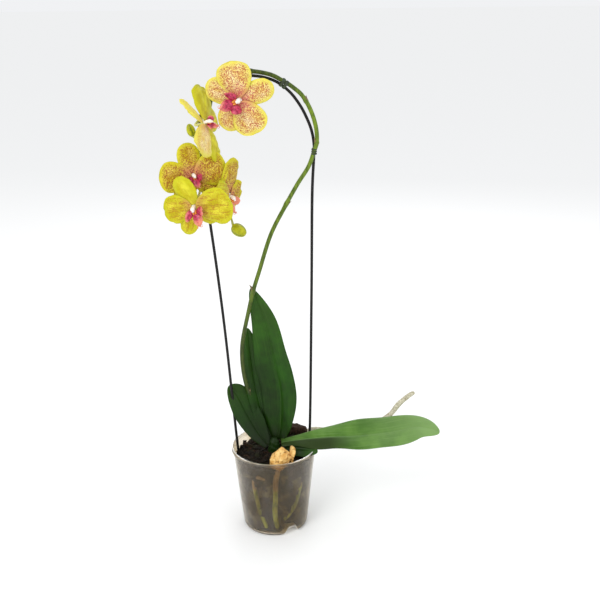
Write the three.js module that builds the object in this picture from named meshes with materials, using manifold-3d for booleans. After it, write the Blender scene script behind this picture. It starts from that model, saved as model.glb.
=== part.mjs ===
// A moth orchid (Phalaenopsis) in a clear nursery pot, its flower spike trained over a wire hoop.
// Millimetres, +Z up, origin at the centre of the pot's underside, the plant's front facing -Y.
import * as THREE from "three";
import { mergeVertices } from "three/addons/utils/BufferGeometryUtils.js";
import Module from "manifold-3d";

const wasm = await Module();
wasm.setup();

const V = (x, y, z) => new THREE.Vector3(x, y, z);
const UP = V(0, 0, 1);
const FRONT = V(0, -1, 0);

// ---------------------------------------------------------------- driving dimensions
const GAP = 0.35; // air left between any two pieces

const POT_HEIGHT = 120;
const POT_RIM_RADIUS = 60; // over the lip
const POT_BASE_RADIUS = 45.5;
const POT_WALL = 1.2;
const POT_LIP_HEIGHT = 5;
const POT_LIP_WIDTH = 2.2;
const NOTCH_COUNT = 2; // drainage notches in the foot
const NOTCH_AZIMUTH = -59; // degrees from +X, the first one
const NOTCH_FOOT_WIDTH = 23;
const NOTCH_TOP_WIDTH = 9;
const NOTCH_HEIGHT = 12;
const NOTCH_DEPTH = 11;
const DRAIN_HOLES = 6;
const DRAIN_RADIUS = 3.5;
const DRAIN_CIRCLE_RADIUS = 24;

const BARK_DROP = 9; // bark surface below the rim
const BARK_MOUND = 9; // rise of the bark behind the plant
const BARK_Z = POT_HEIGHT - BARK_DROP;

const STEM_RADIUS = 9;
const STEM_ABOVE_BARK = 20;
const STEM_BELOW_BARK = 22;

const HOOP_RADIUS = 1.9;
const HOOP_RISE = 516; // crown of the hoop above the bark
const HOOP_WIDTH = 145; // widest span between the legs' centre lines
const HOOP_FEET_Z = 26;
const HOOP_WALL_INSET = 3.6; // leg centre line to the pot's inner wall

const SPIKE_RADIUS = 2.8;
const TIE_THICKNESS = 1.1;

const ROOT_RADIUS = 3.4;
const LEAF_THICKNESS = 2.2;
const TEPAL_THICKNESS = 1.1;
const FLOWER_SCALE = 1;
const PEDICEL_RADIUS = 1.5;

// ---------------------------------------------------------------- materials
const finish = (color, roughness) => new THREE.MeshStandardMaterial({ color, roughness, metalness: 0 });
const POT_PLASTIC = new THREE.MeshStandardMaterial({
  color: 0xb9b2a4, roughness: 0.3, metalness: 0, transparent: true, opacity: 0.45,
});
const BARK = finish(0x2e2117, 0.95);
const PALE_BARK = finish(0xd3a664, 0.85);
const ROOT_GREEN = finish(0x5c6f26, 0.6);
const ROOT_SILVER = finish(0xb9b79c, 0.8);
const LEAF_GREEN = finish(0x2b5a17, 0.4);
const SPIKE_GREEN = finish(0x556b1f, 0.5);
const DRY_SHEATH = finish(0x4a3b22, 0.8);
const WIRE_BLACK = finish(0x14110f, 0.45);
const TIE_GREEN = finish(0x2a3322, 0.5);
const BUD_GREEN = finish(0xa9b526, 0.5);
const TEPAL_YELLOW = finish(0xd8cc3c, 0.55);
const LIP_MAGENTA = finish(0xb32652, 0.5);
const COLUMN_WHITE = finish(0xf0e6dc, 0.5);

// ---------------------------------------------------------------- solids and fitting
function solidOf(geometry) {
  const bare = new THREE.BufferGeometry();
  bare.setAttribute("position", geometry.getAttribute("position"));
  if (geometry.index) bare.setIndex(geometry.index);
  const merged = mergeVertices(bare, 1e-4);
  const made = new wasm.Manifold(new wasm.Mesh({
    numProp: 3,
    vertProperties: new Float32Array(merged.attributes.position.array),
    triVerts: new Uint32Array(merged.index.array),
  }));
  if (made.volume() < 0) throw new Error("a profile runs the wrong way round");
  return made;
}

function geometryOf(solid) {
  const mesh = solid.getMesh();
  const geometry = new THREE.BufferGeometry();
  geometry.setAttribute("position", new THREE.BufferAttribute(mesh.vertProperties, 3));
  geometry.setIndex(new THREE.BufferAttribute(mesh.triVerts, 1));
  geometry.computeVertexNormals();
  return geometry;
}

const biggest = (solid) => solid.decompose().reduce((a, b) => (b.volume() > a.volume() ? b : a));

const apart = (a, b) => [0, 1, 2].some((i) => a.min[i] > b.max[i] || b.min[i] > a.max[i]);

const plant = new THREE.Group();
const placed = []; // { name, envelope, box }

// Adds one piece. `make(grow)` returns its solid, `grow` mm larger all round. What is already in
// place keeps its shape, and the new piece is cut back from it by GAP.
function addPiece(name, material, make) {
  let solid = make(0);
  const box = solid.boundingBox();
  for (const other of placed) {
    if (!apart(box, other.box)) solid = solid.subtract(other.envelope);
  }
  const mesh = new THREE.Mesh(geometryOf(biggest(solid)), material);
  mesh.name = name;
  plant.add(mesh);
  const envelope = make(GAP);
  placed.push({ name, envelope, box: envelope.boundingBox() });
  return mesh;
}

// ---------------------------------------------------------------- shapes
const turnedUpright = (geometry) => geometry.rotateX(Math.PI / 2); // a lathe turns about Y, the part about Z

const lathe = (profile, segments) =>
  solidOf(turnedUpright(new THREE.LatheGeometry(profile.map(([r, z]) => new THREE.Vector2(r, z)), segments)));

// A round rod along a curve.
function rod(curve, radius, steps, sides = 8) {
  const section = new THREE.Shape();
  for (let i = 0; i < sides; i++) {
    const a = (2 * Math.PI * i) / sides;
    section[i ? "lineTo" : "moveTo"](radius * Math.cos(a), radius * Math.sin(a));
  }
  section.closePath();
  return solidOf(new THREE.ExtrudeGeometry(section, { steps, extrudePath: curve, bevelEnabled: false }));
}

const smoothCurve = (points) => new THREE.CatmullRomCurve3(points, false, "catmullrom", 0.5);

// A closed thin blade. `place(u, v, w)` maps across (-1..1), along (0..1) and through (-1..1) to a point.
function blade(across, along, place) {
  const geometry = new THREE.BoxGeometry(2, 1, 2, across, along, 1);
  const position = geometry.attributes.position;
  for (let i = 0; i < position.count; i++) {
    const p = place(position.getX(i), position.getY(i) + 0.5, position.getZ(i));
    position.setXYZ(i, p.x, p.y, p.z);
  }
  return solidOf(geometry);
}

// A rounded lump: a sphere with its own radii, its skin pushed in and out by a bump function.
function lump(centre, radii, turn, grow, bump = () => 0) {
  const geometry = new THREE.SphereGeometry(1, 9, 7);
  const position = geometry.attributes.position;
  const rotation = new THREE.Euler(...turn);
  for (let i = 0; i < position.count; i++) {
    const d = V(position.getX(i), position.getY(i), position.getZ(i));
    const swell = 1 + bump(d);
    const size = V(...radii).multiplyScalar(swell).addScalar(grow);
    const p = d.multiply(size).applyEuler(rotation).add(centre);
    position.setXYZ(i, p.x, p.y, p.z);
  }
  return solidOf(geometry);
}

// ---------------------------------------------------------------- pot
const potOuterTop = POT_RIM_RADIUS - POT_LIP_WIDTH;
const potTaper = (potOuterTop - POT_BASE_RADIUS) / (POT_HEIGHT - POT_LIP_HEIGHT);
const potOuterRadius = (z) => POT_BASE_RADIUS + potTaper * z;
const potInnerRadius = (z) => potOuterRadius(z) - POT_WALL;
const FOOT_ROUND = 2.5;

const potOutside = [
  [0, 0], [POT_BASE_RADIUS - FOOT_ROUND, 0], [potOuterRadius(FOOT_ROUND), FOOT_ROUND],
  [potOuterTop, POT_HEIGHT - POT_LIP_HEIGHT],
  [POT_RIM_RADIUS - 0.4, POT_HEIGHT - POT_LIP_HEIGHT], [POT_RIM_RADIUS, POT_HEIGHT - POT_LIP_HEIGHT + 0.6],
  [POT_RIM_RADIUS, POT_HEIGHT - 1], [POT_RIM_RADIUS - 1, POT_HEIGHT],
];
const potInside = [
  [potInnerRadius(POT_HEIGHT), POT_HEIGHT],
  [potInnerRadius(FOOT_ROUND + POT_WALL), FOOT_ROUND + POT_WALL],
  [POT_BASE_RADIUS - FOOT_ROUND - POT_WALL, POT_WALL], [0, POT_WALL],
];

// The notch's tapering space, `grow` mm larger on its three sides and its inner end.
function notch(azimuth, grow) {
  const half = NOTCH_FOOT_WIDTH / 2 + grow;
  const halfTop = NOTCH_TOP_WIDTH / 2 + grow;
  const section = new THREE.Shape([
    new THREE.Vector2(-half, -1), new THREE.Vector2(half, -1), new THREE.Vector2(half, 0),
    new THREE.Vector2(halfTop, NOTCH_HEIGHT + grow), new THREE.Vector2(-halfTop, NOTCH_HEIGHT + grow),
    new THREE.Vector2(-half, 0),
  ]);
  const length = NOTCH_DEPTH + grow + POT_WALL * 6;
  const geometry = new THREE.ExtrudeGeometry(section, { depth: length, bevelEnabled: false });
  geometry.rotateX(Math.PI / 2).rotateZ(Math.PI / 2); // the section stands up, its length along X
  geometry.translate(POT_BASE_RADIUS - NOTCH_DEPTH - grow, 0, 0);
  geometry.rotateZ(THREE.MathUtils.degToRad(azimuth));
  return solidOf(geometry);
}

const notchAzimuths = Array.from({ length: NOTCH_COUNT }, (_, i) => NOTCH_AZIMUTH + (360 * i) / NOTCH_COUNT);

function makePot() {
  const filled = lathe([...potOutside, [0, POT_HEIGHT]], 48);
  let pot = lathe([...potOutside, ...potInside], 48);
  for (const azimuth of notchAzimuths) {
    pot = pot.add(notch(azimuth, POT_WALL).intersect(filled)).subtract(notch(azimuth, 0));
  }
  for (let i = 0; i < DRAIN_HOLES; i++) {
    const hole = new THREE.CylinderGeometry(DRAIN_RADIUS, DRAIN_RADIUS, 4 * POT_WALL, 12);
    hole.rotateX(Math.PI / 2).translate(DRAIN_CIRCLE_RADIUS, 0, 0).rotateZ((2 * Math.PI * i) / DRAIN_HOLES);
    pot = pot.subtract(solidOf(hole));
  }
  return pot;
}

// ---------------------------------------------------------------- hoop
// x across as a share of the width, y, height above the bark as a share of the rise; right foot to left.
const HOOP_ARCH = [
  [0.372, 10, 0.426], [0.383, 5, 0.696], [0.399, 1, 0.8], [0.401, 0, 0.835], [0.381, 0, 0.868],
  [0.341, 0, 0.898], [0.283, 0, 0.929], [0.199, 0, 0.96], [0.09, 0, 0.984], [-0.028, 0, 0.996],
  [-0.152, 0, 1], [-0.29, 0, 0.998], [-0.414, 0, 0.983], [-0.503, 0, 0.955], [-0.562, 0, 0.918],
  [-0.593, 0, 0.872], [-0.595, 0, 0.82], [-0.565, 1, 0.72], [-0.531, 2, 0.632], [-0.482, 3.5, 0.49],
  [-0.433, 5, 0.32],
];
const HOOP_RIGHT_Y = 17;
const HOOP_LEFT_Y = 8;

// Where a leg passes down beside the pot's wall.
function legPoint(side, y, z) {
  const reach = potInnerRadius(z) - HOOP_WALL_INSET;
  return V(side * Math.sqrt(reach * reach - y * y), y, z);
}
const aboveBark = (share) => BARK_Z + share * HOOP_RISE;
const hoopPoints = [
  legPoint(1, HOOP_RIGHT_Y - 3, HOOP_FEET_Z),
  legPoint(1, HOOP_RIGHT_Y, BARK_Z),
  ...HOOP_ARCH.map(([x, y, share]) => V(x * HOOP_WIDTH, y, aboveBark(share))),
  legPoint(-1, HOOP_LEFT_Y, BARK_Z),
  legPoint(-1, HOOP_LEFT_Y - 2, HOOP_FEET_Z),
];
const hoopCurve = smoothCurve(hoopPoints);
const hoopParameter = (index) => index / (hoopPoints.length - 1);

// The wire in three stretches, counted in its points: its feet, under the bark, bend along the pot's wall.
const FOOT_SHARE = 0.93; // how much of the first and last span belongs to the feet
const lastHoopPoint = hoopPoints.length - 1;
function hoopStretch(from, to, count, grow) {
  const points = Array.from({ length: count }, (_, i) =>
    hoopCurve.getPoint(hoopParameter(from + ((to - from) * i) / (count - 1))));
  return rod(smoothCurve(points), HOOP_RADIUS + grow, 2 * count);
}
const HOOP_PARTS = {
  hoop_wire: [FOOT_SHARE, lastHoopPoint - FOOT_SHARE, 47],
  hoop_foot_right: [0, FOOT_SHARE, 4],
  hoop_foot_left: [lastHoopPoint - FOOT_SHARE, lastHoopPoint, 4],
};

// A point beside the hoop: `out` mm outside the arch and `forward` mm in front of the wire.
function besideHoop(index, out, forward) {
  const t = hoopParameter(index);
  const outward = hoopCurve.getTangent(t).cross(FRONT).normalize();
  return hoopCurve.getPoint(t).addScaledVector(outward, out).addScaledVector(FRONT, forward);
}

// ---------------------------------------------------------------- flower spike
const TOUCH = HOOP_RADIUS + SPIKE_RADIUS + GAP; // centre distance of spike and wire where they are tied
const SIDE_TIE = 4.4; // places along the hoop, counted in its points
const TOP_TIE = 9.6;

const spikeClimb = [
  [-13, 9, 0.025], [-22, 13, 0.085], [-33, 14, 0.15], [-39.5, 11, 0.205], [-42, 8, 0.265], [-40, 4, 0.32],
  [-31.7, -2, 0.395], [-23.5, -5, 0.461], [-14.7, -5, 0.515], [0.9, -4, 0.6075], [18.9, -3, 0.676],
  [36.6, -3, 0.737],
].map(([x, y, share]) => V(x, y, aboveBark(share)));

const spikeRide = [
  [3.7, -6.5, 4.6], [SIDE_TIE, 0, TOUCH + 0.1], [5.2, 4, 4.4], [6.2, 6.6, 2.2], [7.4, 8.6, 0.5], [8.4, 9, 0],
  [9.1, 6.8, 0], [TOP_TIE, TOUCH + 0.2, 0], [10.6, TOUCH + 0.2, 0], [12, TOUCH + 0.3, 0], [13.2, 4.4, -4],
  [14.4, -1, -6], [15.6, -7.5, -5.6], [16.8, -10, -5.4], [18, -10, -5.4],
].map(([index, out, forward]) => besideHoop(index, out, forward));

const spikeTip = [
  [-74, 7, 0.755], [-64, 8, 0.705], [-54, 7, 0.672],
].map(([x, y, share]) => V(x, y, aboveBark(share)));

const spikeCurve = smoothCurve([...spikeClimb, ...spikeRide, ...spikeTip]);
const RIDE_START = spikeClimb.length;
const spikePoints = [...spikeClimb, ...spikeRide, ...spikeTip];
const spikeAt = (index) => spikeCurve.getPoint(index / (spikePoints.length - 1));

// A tie that wraps the spike and the wire together at one place along the hoop.
function tie(hoopIndex, spikeIndex, bands, bandWidth, pitch, grow) {
  const wire = hoopCurve.getPoint(hoopParameter(hoopIndex));
  const spike = spikeAt(spikeIndex);
  const along = hoopCurve.getTangent(hoopParameter(hoopIndex));
  const side = spike.clone().sub(wire);
  side.addScaledVector(along, -side.dot(along)).normalize();
  const reach = spike.distanceTo(wire) / 2;
  const radius = SPIKE_RADIUS + GAP + TIE_THICKNESS + grow;
  const stadium = (r) => {
    const shape = new THREE.Shape();
    shape.absarc(reach, 0, r, -Math.PI / 2, Math.PI / 2, false);
    shape.absarc(-reach, 0, r, Math.PI / 2, (3 * Math.PI) / 2, false);
    return shape;
  };
  const band = (r, width, offset) => {
    const options = { depth: width, bevelEnabled: false, curveSegments: 5 };
    const geometry = new THREE.ExtrudeGeometry(stadium(r), options);
    geometry.translate(0, 0, offset - width / 2);
    const third = along.clone().cross(side);
    geometry.applyMatrix4(new THREE.Matrix4().makeBasis(side, third, along));
    geometry.translate(...wire.clone().add(spike).multiplyScalar(0.5).toArray());
    return solidOf(geometry);
  };
  const length = (bands - 1) * pitch;
  let made = band(radius - TIE_THICKNESS * 0.45, length + bandWidth * 0.8, 0);
  for (let i = 0; i < bands; i++) made = made.add(band(radius, bandWidth + 2 * grow, i * pitch - length / 2));
  return made;
}

// ---------------------------------------------------------------- roots, stem, leaves
// A root lying against the inside of the pot's wall: [azimuth in degrees, height] down the wall.
function wallRoot(path, grow) {
  const points = path.map(([azimuth, z, inset = 0]) => {
    const reach = potInnerRadius(z) - GAP - 0.2 - ROOT_RADIUS - inset;
    const a = THREE.MathUtils.degToRad(azimuth);
    return V(reach * Math.cos(a), reach * Math.sin(a), z);
  });
  return rod(smoothCurve(points), ROOT_RADIUS + grow, 9, 7);
}
const rootTop = BARK_Z - 16;
const WALL_ROOTS = {
  root_front: [[-80, rootTop, 8], [-85, rootTop - 12], [-86, 60], [-88, 34], [-84, 10]],
  root_front_right: [[-28, rootTop - 6, 8], [-36, 74], [-46, 52], [-57, 36, 1], [-72, 22, 1]],
  root_front_left: [[-130, rootTop - 2, 8], [-122, 76], [-121, 52], [-116, 28], [-106, 9]],
  root_back: [[100, rootTop, 8], [94, 80], [84, 50], [96, 18]],
  root_back_left: [[168, rootTop - 4, 8], [160, 72], [148, 44], [136, 14]],
};

function stemBase(grow) {
  const top = BARK_Z + STEM_ABOVE_BARK;
  const bottom = BARK_Z - STEM_BELOW_BARK;
  return lathe([
    [0, bottom - grow], [STEM_RADIUS * 0.6 + grow, bottom], [STEM_RADIUS + grow, bottom + 8],
    [STEM_RADIUS + grow, BARK_Z + 4], [STEM_RADIUS * 0.7 + grow, top - 6], [STEM_RADIUS * 0.3 + grow, top],
    [0, top + grow],
  ], 14);
}

// Width of a leaf along its length, as a share of its greatest half-width.
const LEAF_BASE_SHARE = 0.24;
const LEAF_TIP_SHARE = 0.06;
function leafOutline(v, fullest, waist) {
  const rise = v < fullest ? v / fullest : 1 - (v - fullest) / (1 - fullest);
  const swell = Math.sin((Math.PI / 2) * THREE.MathUtils.clamp(rise, 0, 1));
  if (v < fullest) return LEAF_BASE_SHARE + (1 - LEAF_BASE_SHARE) * swell ** waist;
  return Math.max(LEAF_TIP_SHARE, Math.sqrt(swell));
}

// A leaf on its midrib. `faces` is the way its upper side looks, `fold` how far the edges rise, and
// a larger `waist` keeps it narrow for longer above its base.
function leaf({ midrib, halfWidth, fullest, faces, fold, waist = 1.2, along = 14 }, grow) {
  const curve = smoothCurve(midrib);
  return blade(4, along, (u, v, w) => {
    const t = THREE.MathUtils.clamp(v, 0, 1);
    const tangent = curve.getTangent(t);
    const face = faces(t);
    const side = tangent.clone().cross(face).normalize();
    const normal = side.clone().cross(tangent).normalize();
    const half = halfWidth * leafOutline(t, fullest, waist) + grow;
    const thickness = (LEAF_THICKNESS / 2) * (1 - 0.55 * Math.abs(u)) + grow;
    return curve.getPoint(t)
      .addScaledVector(tangent, (v === 0 ? -grow : 0) + (v === 1 ? grow : 0))
      .addScaledVector(side, u * half)
      .addScaledVector(normal, fold * half * Math.abs(u) + w * thickness);
  });
}

const blendFaces = (from, to) => (t) => from.clone().lerp(to, t).normalize();
const bark = (x, y, z) => V(x, y, BARK_Z + z);
const LEAVES = {
  leaf_tall: {
    midrib: [
      bark(9, 7, 13), bark(17, 11, 38), bark(14, 14, 85), bark(4, 14, 135), bark(-8, 10, 190), bark(-27, 4, 240),
    ],
    halfWidth: 26, fullest: 0.42, faces: blendFaces(V(-0.5, -1, 0.1), V(-0.1, -1, 0.25)), fold: 0.3,
  },
  leaf_narrow: {
    midrib: [bark(-3, 9, 13), bark(-15, 16, 42), bark(-25, 21, 85), bark(-31, 21, 135), bark(-34, 17, 178)],
    halfWidth: 15, fullest: 0.5, faces: blendFaces(V(0.5, -1, 0), V(0.35, -1, 0)), fold: 0.4,
  },
  leaf_left: {
    midrib: [bark(-9, -3, 8), bark(-22, 2, 26), bark(-37, 8, 52), bark(-50, 13, 78), bark(-62, 16, 93)],
    halfWidth: 19, fullest: 0.55, faces: blendFaces(V(0.45, -1, 0.5), V(0.3, -1, 0.6)), fold: 0.25,
  },
  leaf_right: {
    midrib: [
      bark(10, -2, 15), bark(38, 0, 22), bark(73, 3, 23), bark(115, 3, 21), bark(160, 3, 21), bark(203, 5, 24),
      bark(234, 4, 22),
    ],
    halfWidth: 30, fullest: 0.62, faces: blendFaces(V(-0.1, -0.5, 1), V(0.1, -0.4, 1)), fold: 0.1, waist: 1.6,
    along: 18,
  },
  leaf_right_low: {
    midrib: [bark(10, -8, 0), bark(28, -13, 6), bark(52, -21, 8), bark(80, -24, 5)],
    halfWidth: 14, fullest: 0.45, faces: blendFaces(V(0, -0.5, 1), V(0, -0.5, 1)), fold: 0.2, along: 9,
  },
};

const aerialRootCurve = smoothCurve([
  bark(12, 12, 6), bark(42, 32, 15), bark(85, 42, 14), bark(135, 42, 18),
  bark(164, 37, 33), bark(179, 37, 52), bark(193, 37, 65), bark(201, 37, 70),
]);

// ---------------------------------------------------------------- bark
function barkFill() {
  const bottom = POT_WALL + GAP;
  const fromWall = (z) => potInnerRadius(z) - GAP;
  const foot = POT_BASE_RADIUS - FOOT_ROUND - POT_WALL - GAP;
  const edge = BARK_Z - 3;
  const geometry = turnedUpright(new THREE.LatheGeometry([
    [0, bottom], [foot, bottom], [fromWall(FOOT_ROUND + POT_WALL + GAP), FOOT_ROUND + POT_WALL + GAP],
    [fromWall(edge), edge], [fromWall(edge) * 0.86, BARK_Z], [fromWall(edge) * 0.6, BARK_Z],
    [fromWall(edge) * 0.32, BARK_Z], [0, BARK_Z],
  ].map(([r, z]) => new THREE.Vector2(r, z)), 24));
  const position = geometry.attributes.position;
  for (let i = 0; i < position.count; i++) {
    if (position.getZ(i) < BARK_Z - 0.5) continue;
    const x = position.getX(i);
    const y = position.getY(i);
    const behind = THREE.MathUtils.clamp((x + y) / (Math.SQRT2 * potInnerRadius(BARK_Z)), -0.35, 1);
    position.setZ(i, BARK_Z + BARK_MOUND * behind + 1.2 * Math.sin(x * 0.31) * Math.cos(y * 0.27));
  }
  let fill = solidOf(geometry);
  for (const azimuth of notchAzimuths) fill = fill.subtract(notch(azimuth, POT_WALL + GAP));
  return fill;
}

const rough = (phase) => (d) =>
  0.16 * Math.sin(5 * d.x + phase) * Math.cos(6 * d.y - phase) + 0.1 * Math.sin(9 * d.z + phase);
const CHIPS = {
  bark_chip_back: [bark(26, 34, 8), [12, 7, 4], [-0.3, 0.3, 0.4]],
};

// ---------------------------------------------------------------- flowers
const COLUMN_RADIUS = 2.3;
const TEPAL_START = COLUMN_RADIUS; // from the flower's axis
const LIP_SCALE = 1.25;
const DORSAL = 90; // degrees round the flower's face, the dorsal sepal standing at the top

// Width of a tepal along its length, as a share of its greatest half-width.
const petalOutline = (v) => Math.max(0.1, 1.32 * v ** 0.62 * Math.sqrt(Math.max(0, 1 - v ** 2.6)));
const sepalOutline = (v) =>
  Math.max(0.12, 1.3 * (0.12 + 0.88 * v) ** 0.6 * Math.sqrt(Math.max(0, 1 - v ** 2.2)));
const TEPALS = {
  petal_right: { turn: DORSAL - 80, length: 40, halfWidth: 22.5, depth: 0.6, outline: petalOutline },
  petal_left: { turn: DORSAL + 80, length: 40, halfWidth: 22.5, depth: 0.6, outline: petalOutline },
  sepal_dorsal: { turn: DORSAL, length: 38, halfWidth: 15.5, depth: -1.8, outline: sepalOutline },
  sepal_right: { turn: DORSAL - 138, length: 38, halfWidth: 15.5, depth: -1.8, outline: sepalOutline },
  sepal_left: { turn: DORSAL + 138, length: 38, halfWidth: 15.5, depth: -1.8, outline: sepalOutline },
};

// `at` is the flower's middle from its place on the spike; it looks along `facing`, its dorsal sepal
// towards `dorsal`. `bowl` bends the whole face back (+) or forward (-); `lift` brings the petals forward.
// `swing` turns single tepals away from their even places, in degrees.
const FLOWERS = {
  flower_1: {
    spike: 21, at: V(-10, -40, -30), facing: V(-0.1, -0.97, -0.15), dorsal: V(0.93, 0, 0.36),
    bowl: 2, lift: 3, scale: 1.1,
  },
  flower_2: {
    spike: 24.5, at: V(-1, -40, -3), facing: V(0.88, -0.38, 0.28), dorsal: V(-0.47, -0.66, 0.585),
    bowl: 3, lift: 2, scale: 0.98, swing: { petal_left: 8, sepal_left: 14 },
  },
  flower_3: {
    spike: 25.6, at: V(-16, -40, -37), facing: V(0.3, -0.93, 0.1), dorsal: V(-0.28, 0, 0.96),
    bowl: 2, lift: 3, scale: 1, swing: { petal_left: -8, petal_right: -4 },
  },
  flower_4: {
    spike: 26.6, at: V(-15, -61, -39), facing: V(-0.15, -0.95, -0.2), dorsal: V(-0.44, 0, 0.9),
    bowl: -1, lift: 5, scale: 1.04, swing: { petal_left: -12, petal_right: -18, sepal_right: -12 },
  },
  flower_5: {
    spike: 27.4, at: V(18, -15, -5), facing: V(0.86, -0.3, -0.38), dorsal: V(0.3, 0, 0.95),
    bowl: 2, lift: 2, scale: 1,
  },
};

function flowerFrame({ spike, at, facing, dorsal }) {
  const front = facing.clone().normalize();
  const up = dorsal.clone().addScaledVector(front, -dorsal.dot(front)).normalize();
  const matrix = new THREE.Matrix4().makeBasis(up.clone().cross(front), up, front);
  matrix.setPosition(spikeAt(spike).add(at));
  return matrix;
}

const localPoint = (frame, x, y, z) => V(x, y, z).applyMatrix4(frame);

function tepal(flower, frame, part, grow) {
  const { turn, length, halfWidth, depth, outline } = TEPALS[part];
  const size = flower.scale * FLOWER_SCALE;
  const a = THREE.MathUtils.degToRad(turn + (flower.swing?.[part] ?? 0));
  const lift = depth > 0 ? flower.lift : -flower.lift * 0.4;
  return blade(4, 5, (u, v, w) => {
    const reach = TEPAL_START + v * length * size + (v === 1 ? grow : 0) - (v === 0 ? grow : 0);
    const aside = u * (halfWidth * size * outline(v) + grow);
    const spread = Math.hypot(reach, aside) / (40 * size);
    const thick = TEPAL_THICKNESS / 2 + grow;
    const z = depth - flower.bowl * spread ** 2 + lift * v ** 1.5 * (0.5 + 0.5 * u * u) + w * thick;
    const out = V(Math.cos(a), Math.sin(a), 0).multiplyScalar(reach);
    out.addScaledVector(V(Math.sin(a), -Math.cos(a), 0), aside);
    return localPoint(frame, out.x, out.y, z);
  });
}

// The stalk from the spike to the flower's back, and the column in its middle.
function stalkAndColumn(flower, frame, grow) {
  const start = spikeAt(flower.spike);
  const back = localPoint(frame, 0, 0, -14);
  const curve = smoothCurve([
    start.clone().addScaledVector(FRONT, SPIKE_RADIUS * 0.6),
    start.clone().lerp(back, 0.6).addScaledVector(UP, 3),
    back,
    localPoint(frame, 0, 0, 1),
  ]);
  const column = [[0, -3.4], [0.4, 3], [-0.6, 9]].map(([y, z]) => localPoint(frame, 0, y, z));
  return rod(curve, PEDICEL_RADIUS + grow, 8, 6).add(rod(smoothCurve(column), COLUMN_RADIUS + grow, 3, 7));
}

// The lip: two upright side lobes and a pointed middle lobe below the column.
function lip(flower, frame, grow) {
  const size = flower.scale * FLOWER_SCALE * LIP_SCALE;
  const lobe = (root, direction, across, length, half, shape) => blade(2, 4, (u, v, w) => {
    const reach = v * length + (v === 1 ? grow : 0) - (v === 0 ? grow : 0);
    const p = root.clone().addScaledVector(direction, reach);
    p.addScaledVector(across, u * (half * shape(v) + grow));
    const normal = across.clone().cross(direction);
    p.addScaledVector(normal, w * (0.6 + grow) + 1.6 * u * u);
    return p.multiplyScalar(size).applyMatrix4(frame);
  });
  const tongue = (v) => 0.35 + 2.2 * v * (1 - v) + 0.1 * v;
  const wing = (v) => 0.45 + 1.7 * v * (1 - 0.72 * v);
  const middle = lobe(V(0, -3.5, 4), V(0, -0.8, 0.6), V(1, 0, 0), 15, 5.5, tongue);
  const sides = [-1, 1].map((s) => {
    const spread = V(s * 0.84, -0.1, 0.54).normalize();
    return lobe(V(s * 1.5, -3.5, 4.2), spread, V(s * 0.3, s * 0.82, -s * 0.32).normalize(), 10, 4.4, wing);
  });
  const boss = lump(V(0, 0, 0), [2.4, 2, 2], [0, 0, 0], grow);
  const matrix = frame.clone().multiply(new THREE.Matrix4().makeTranslation(0, -3.4 * size, 4 * size));
  return middle.add(sides[0]).add(sides[1]).add(boss.transform(matrix.toArray()));
}

// A closed bud on its own short stalk.
function bud({ spike, at, points, radii }, grow) {
  const start = spikeAt(spike);
  const centre = start.clone().add(at);
  const aim = new THREE.Matrix4().lookAt(points, V(0, 0, 0), UP);
  const turn = new THREE.Euler().setFromRotationMatrix(aim);
  const tail = centre.clone().addScaledVector(points.clone().normalize(), -radii[2] * 0.7);
  const away = tail.clone().sub(start).normalize();
  const curve = smoothCurve([
    start.clone().addScaledVector(away, SPIKE_RADIUS * 0.6),
    start.clone().lerp(tail, 0.55).addScaledVector(UP, 2),
    tail,
  ]);
  const body = lump(centre, radii, [turn.x, turn.y, turn.z], grow);
  return body.add(rod(curve, PEDICEL_RADIUS + grow, 5, 6));
}

// The dry sheath left at a joint of the spike, hooked away from it.
const BRACT_AT = 7;
const BRACT_RADIUS = 1;
function bract(grow) {
  const joint = spikeAt(BRACT_AT);
  const reach = SPIKE_RADIUS + GAP + BRACT_RADIUS;
  const hook = [
    V(-reach, -0.5, -1), V(-reach - 1.5, -0.5, 3), V(-reach - 4.5, 0, 4), V(-reach - 6.5, 0, 2.5),
  ];
  return rod(smoothCurve(hook.map((p) => p.add(joint))), BRACT_RADIUS + grow, 6, 6);
}
const BUDS = {
  bud_low: { spike: 29, at: V(15, -22, -23), points: V(0.8, -0.2, -0.5), radii: [8, 8, 10.5] },
  bud_high: { spike: 26, at: V(-21, 2, 25), points: V(-0.3, 0, 1), radii: [5.5, 5.5, 8.5] },
};

// ---------------------------------------------------------------- the whole plant
addPiece("pot", POT_PLASTIC, makePot);
for (const [name, [from, to, count]] of Object.entries(HOOP_PARTS)) {
  addPiece(name, WIRE_BLACK, (grow) => hoopStretch(from, to, count, grow));
}
addPiece("flower_spike", SPIKE_GREEN, (grow) => rod(spikeCurve, SPIKE_RADIUS + grow, 64));
addPiece("stem_base", LEAF_GREEN, stemBase);
for (const [name, path] of Object.entries(WALL_ROOTS)) {
  addPiece(name, ROOT_GREEN, (grow) => wallRoot(path, grow));
}
for (const [name, form] of Object.entries(LEAVES)) {
  addPiece(name, LEAF_GREEN, (grow) => leaf(form, grow));
}
addPiece("aerial_root", ROOT_SILVER, (grow) => rod(aerialRootCurve, ROOT_RADIUS * 0.85 + grow, 18));
addPiece("pale_bark_chunk", PALE_BARK, (grow) =>
  lump(bark(10, -38, 9), [14, 11, 15], [0.5, 0.1, 0.2], grow, rough(1)));
for (const [name, [centre, radii, turn]] of Object.entries(CHIPS)) {
  addPiece(name, BARK, (grow) => lump(centre, radii, turn, grow, rough(centre.x)));
}
addPiece("potting_bark", BARK, barkFill);
addPiece("tie_side", TIE_GREEN, (grow) => tie(SIDE_TIE, RIDE_START + 1, 3, 1.7, 2.6, grow));
addPiece("tie_top", TIE_GREEN, (grow) => tie(TOP_TIE, RIDE_START + 7, 2, 4.2, 5, grow));

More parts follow.
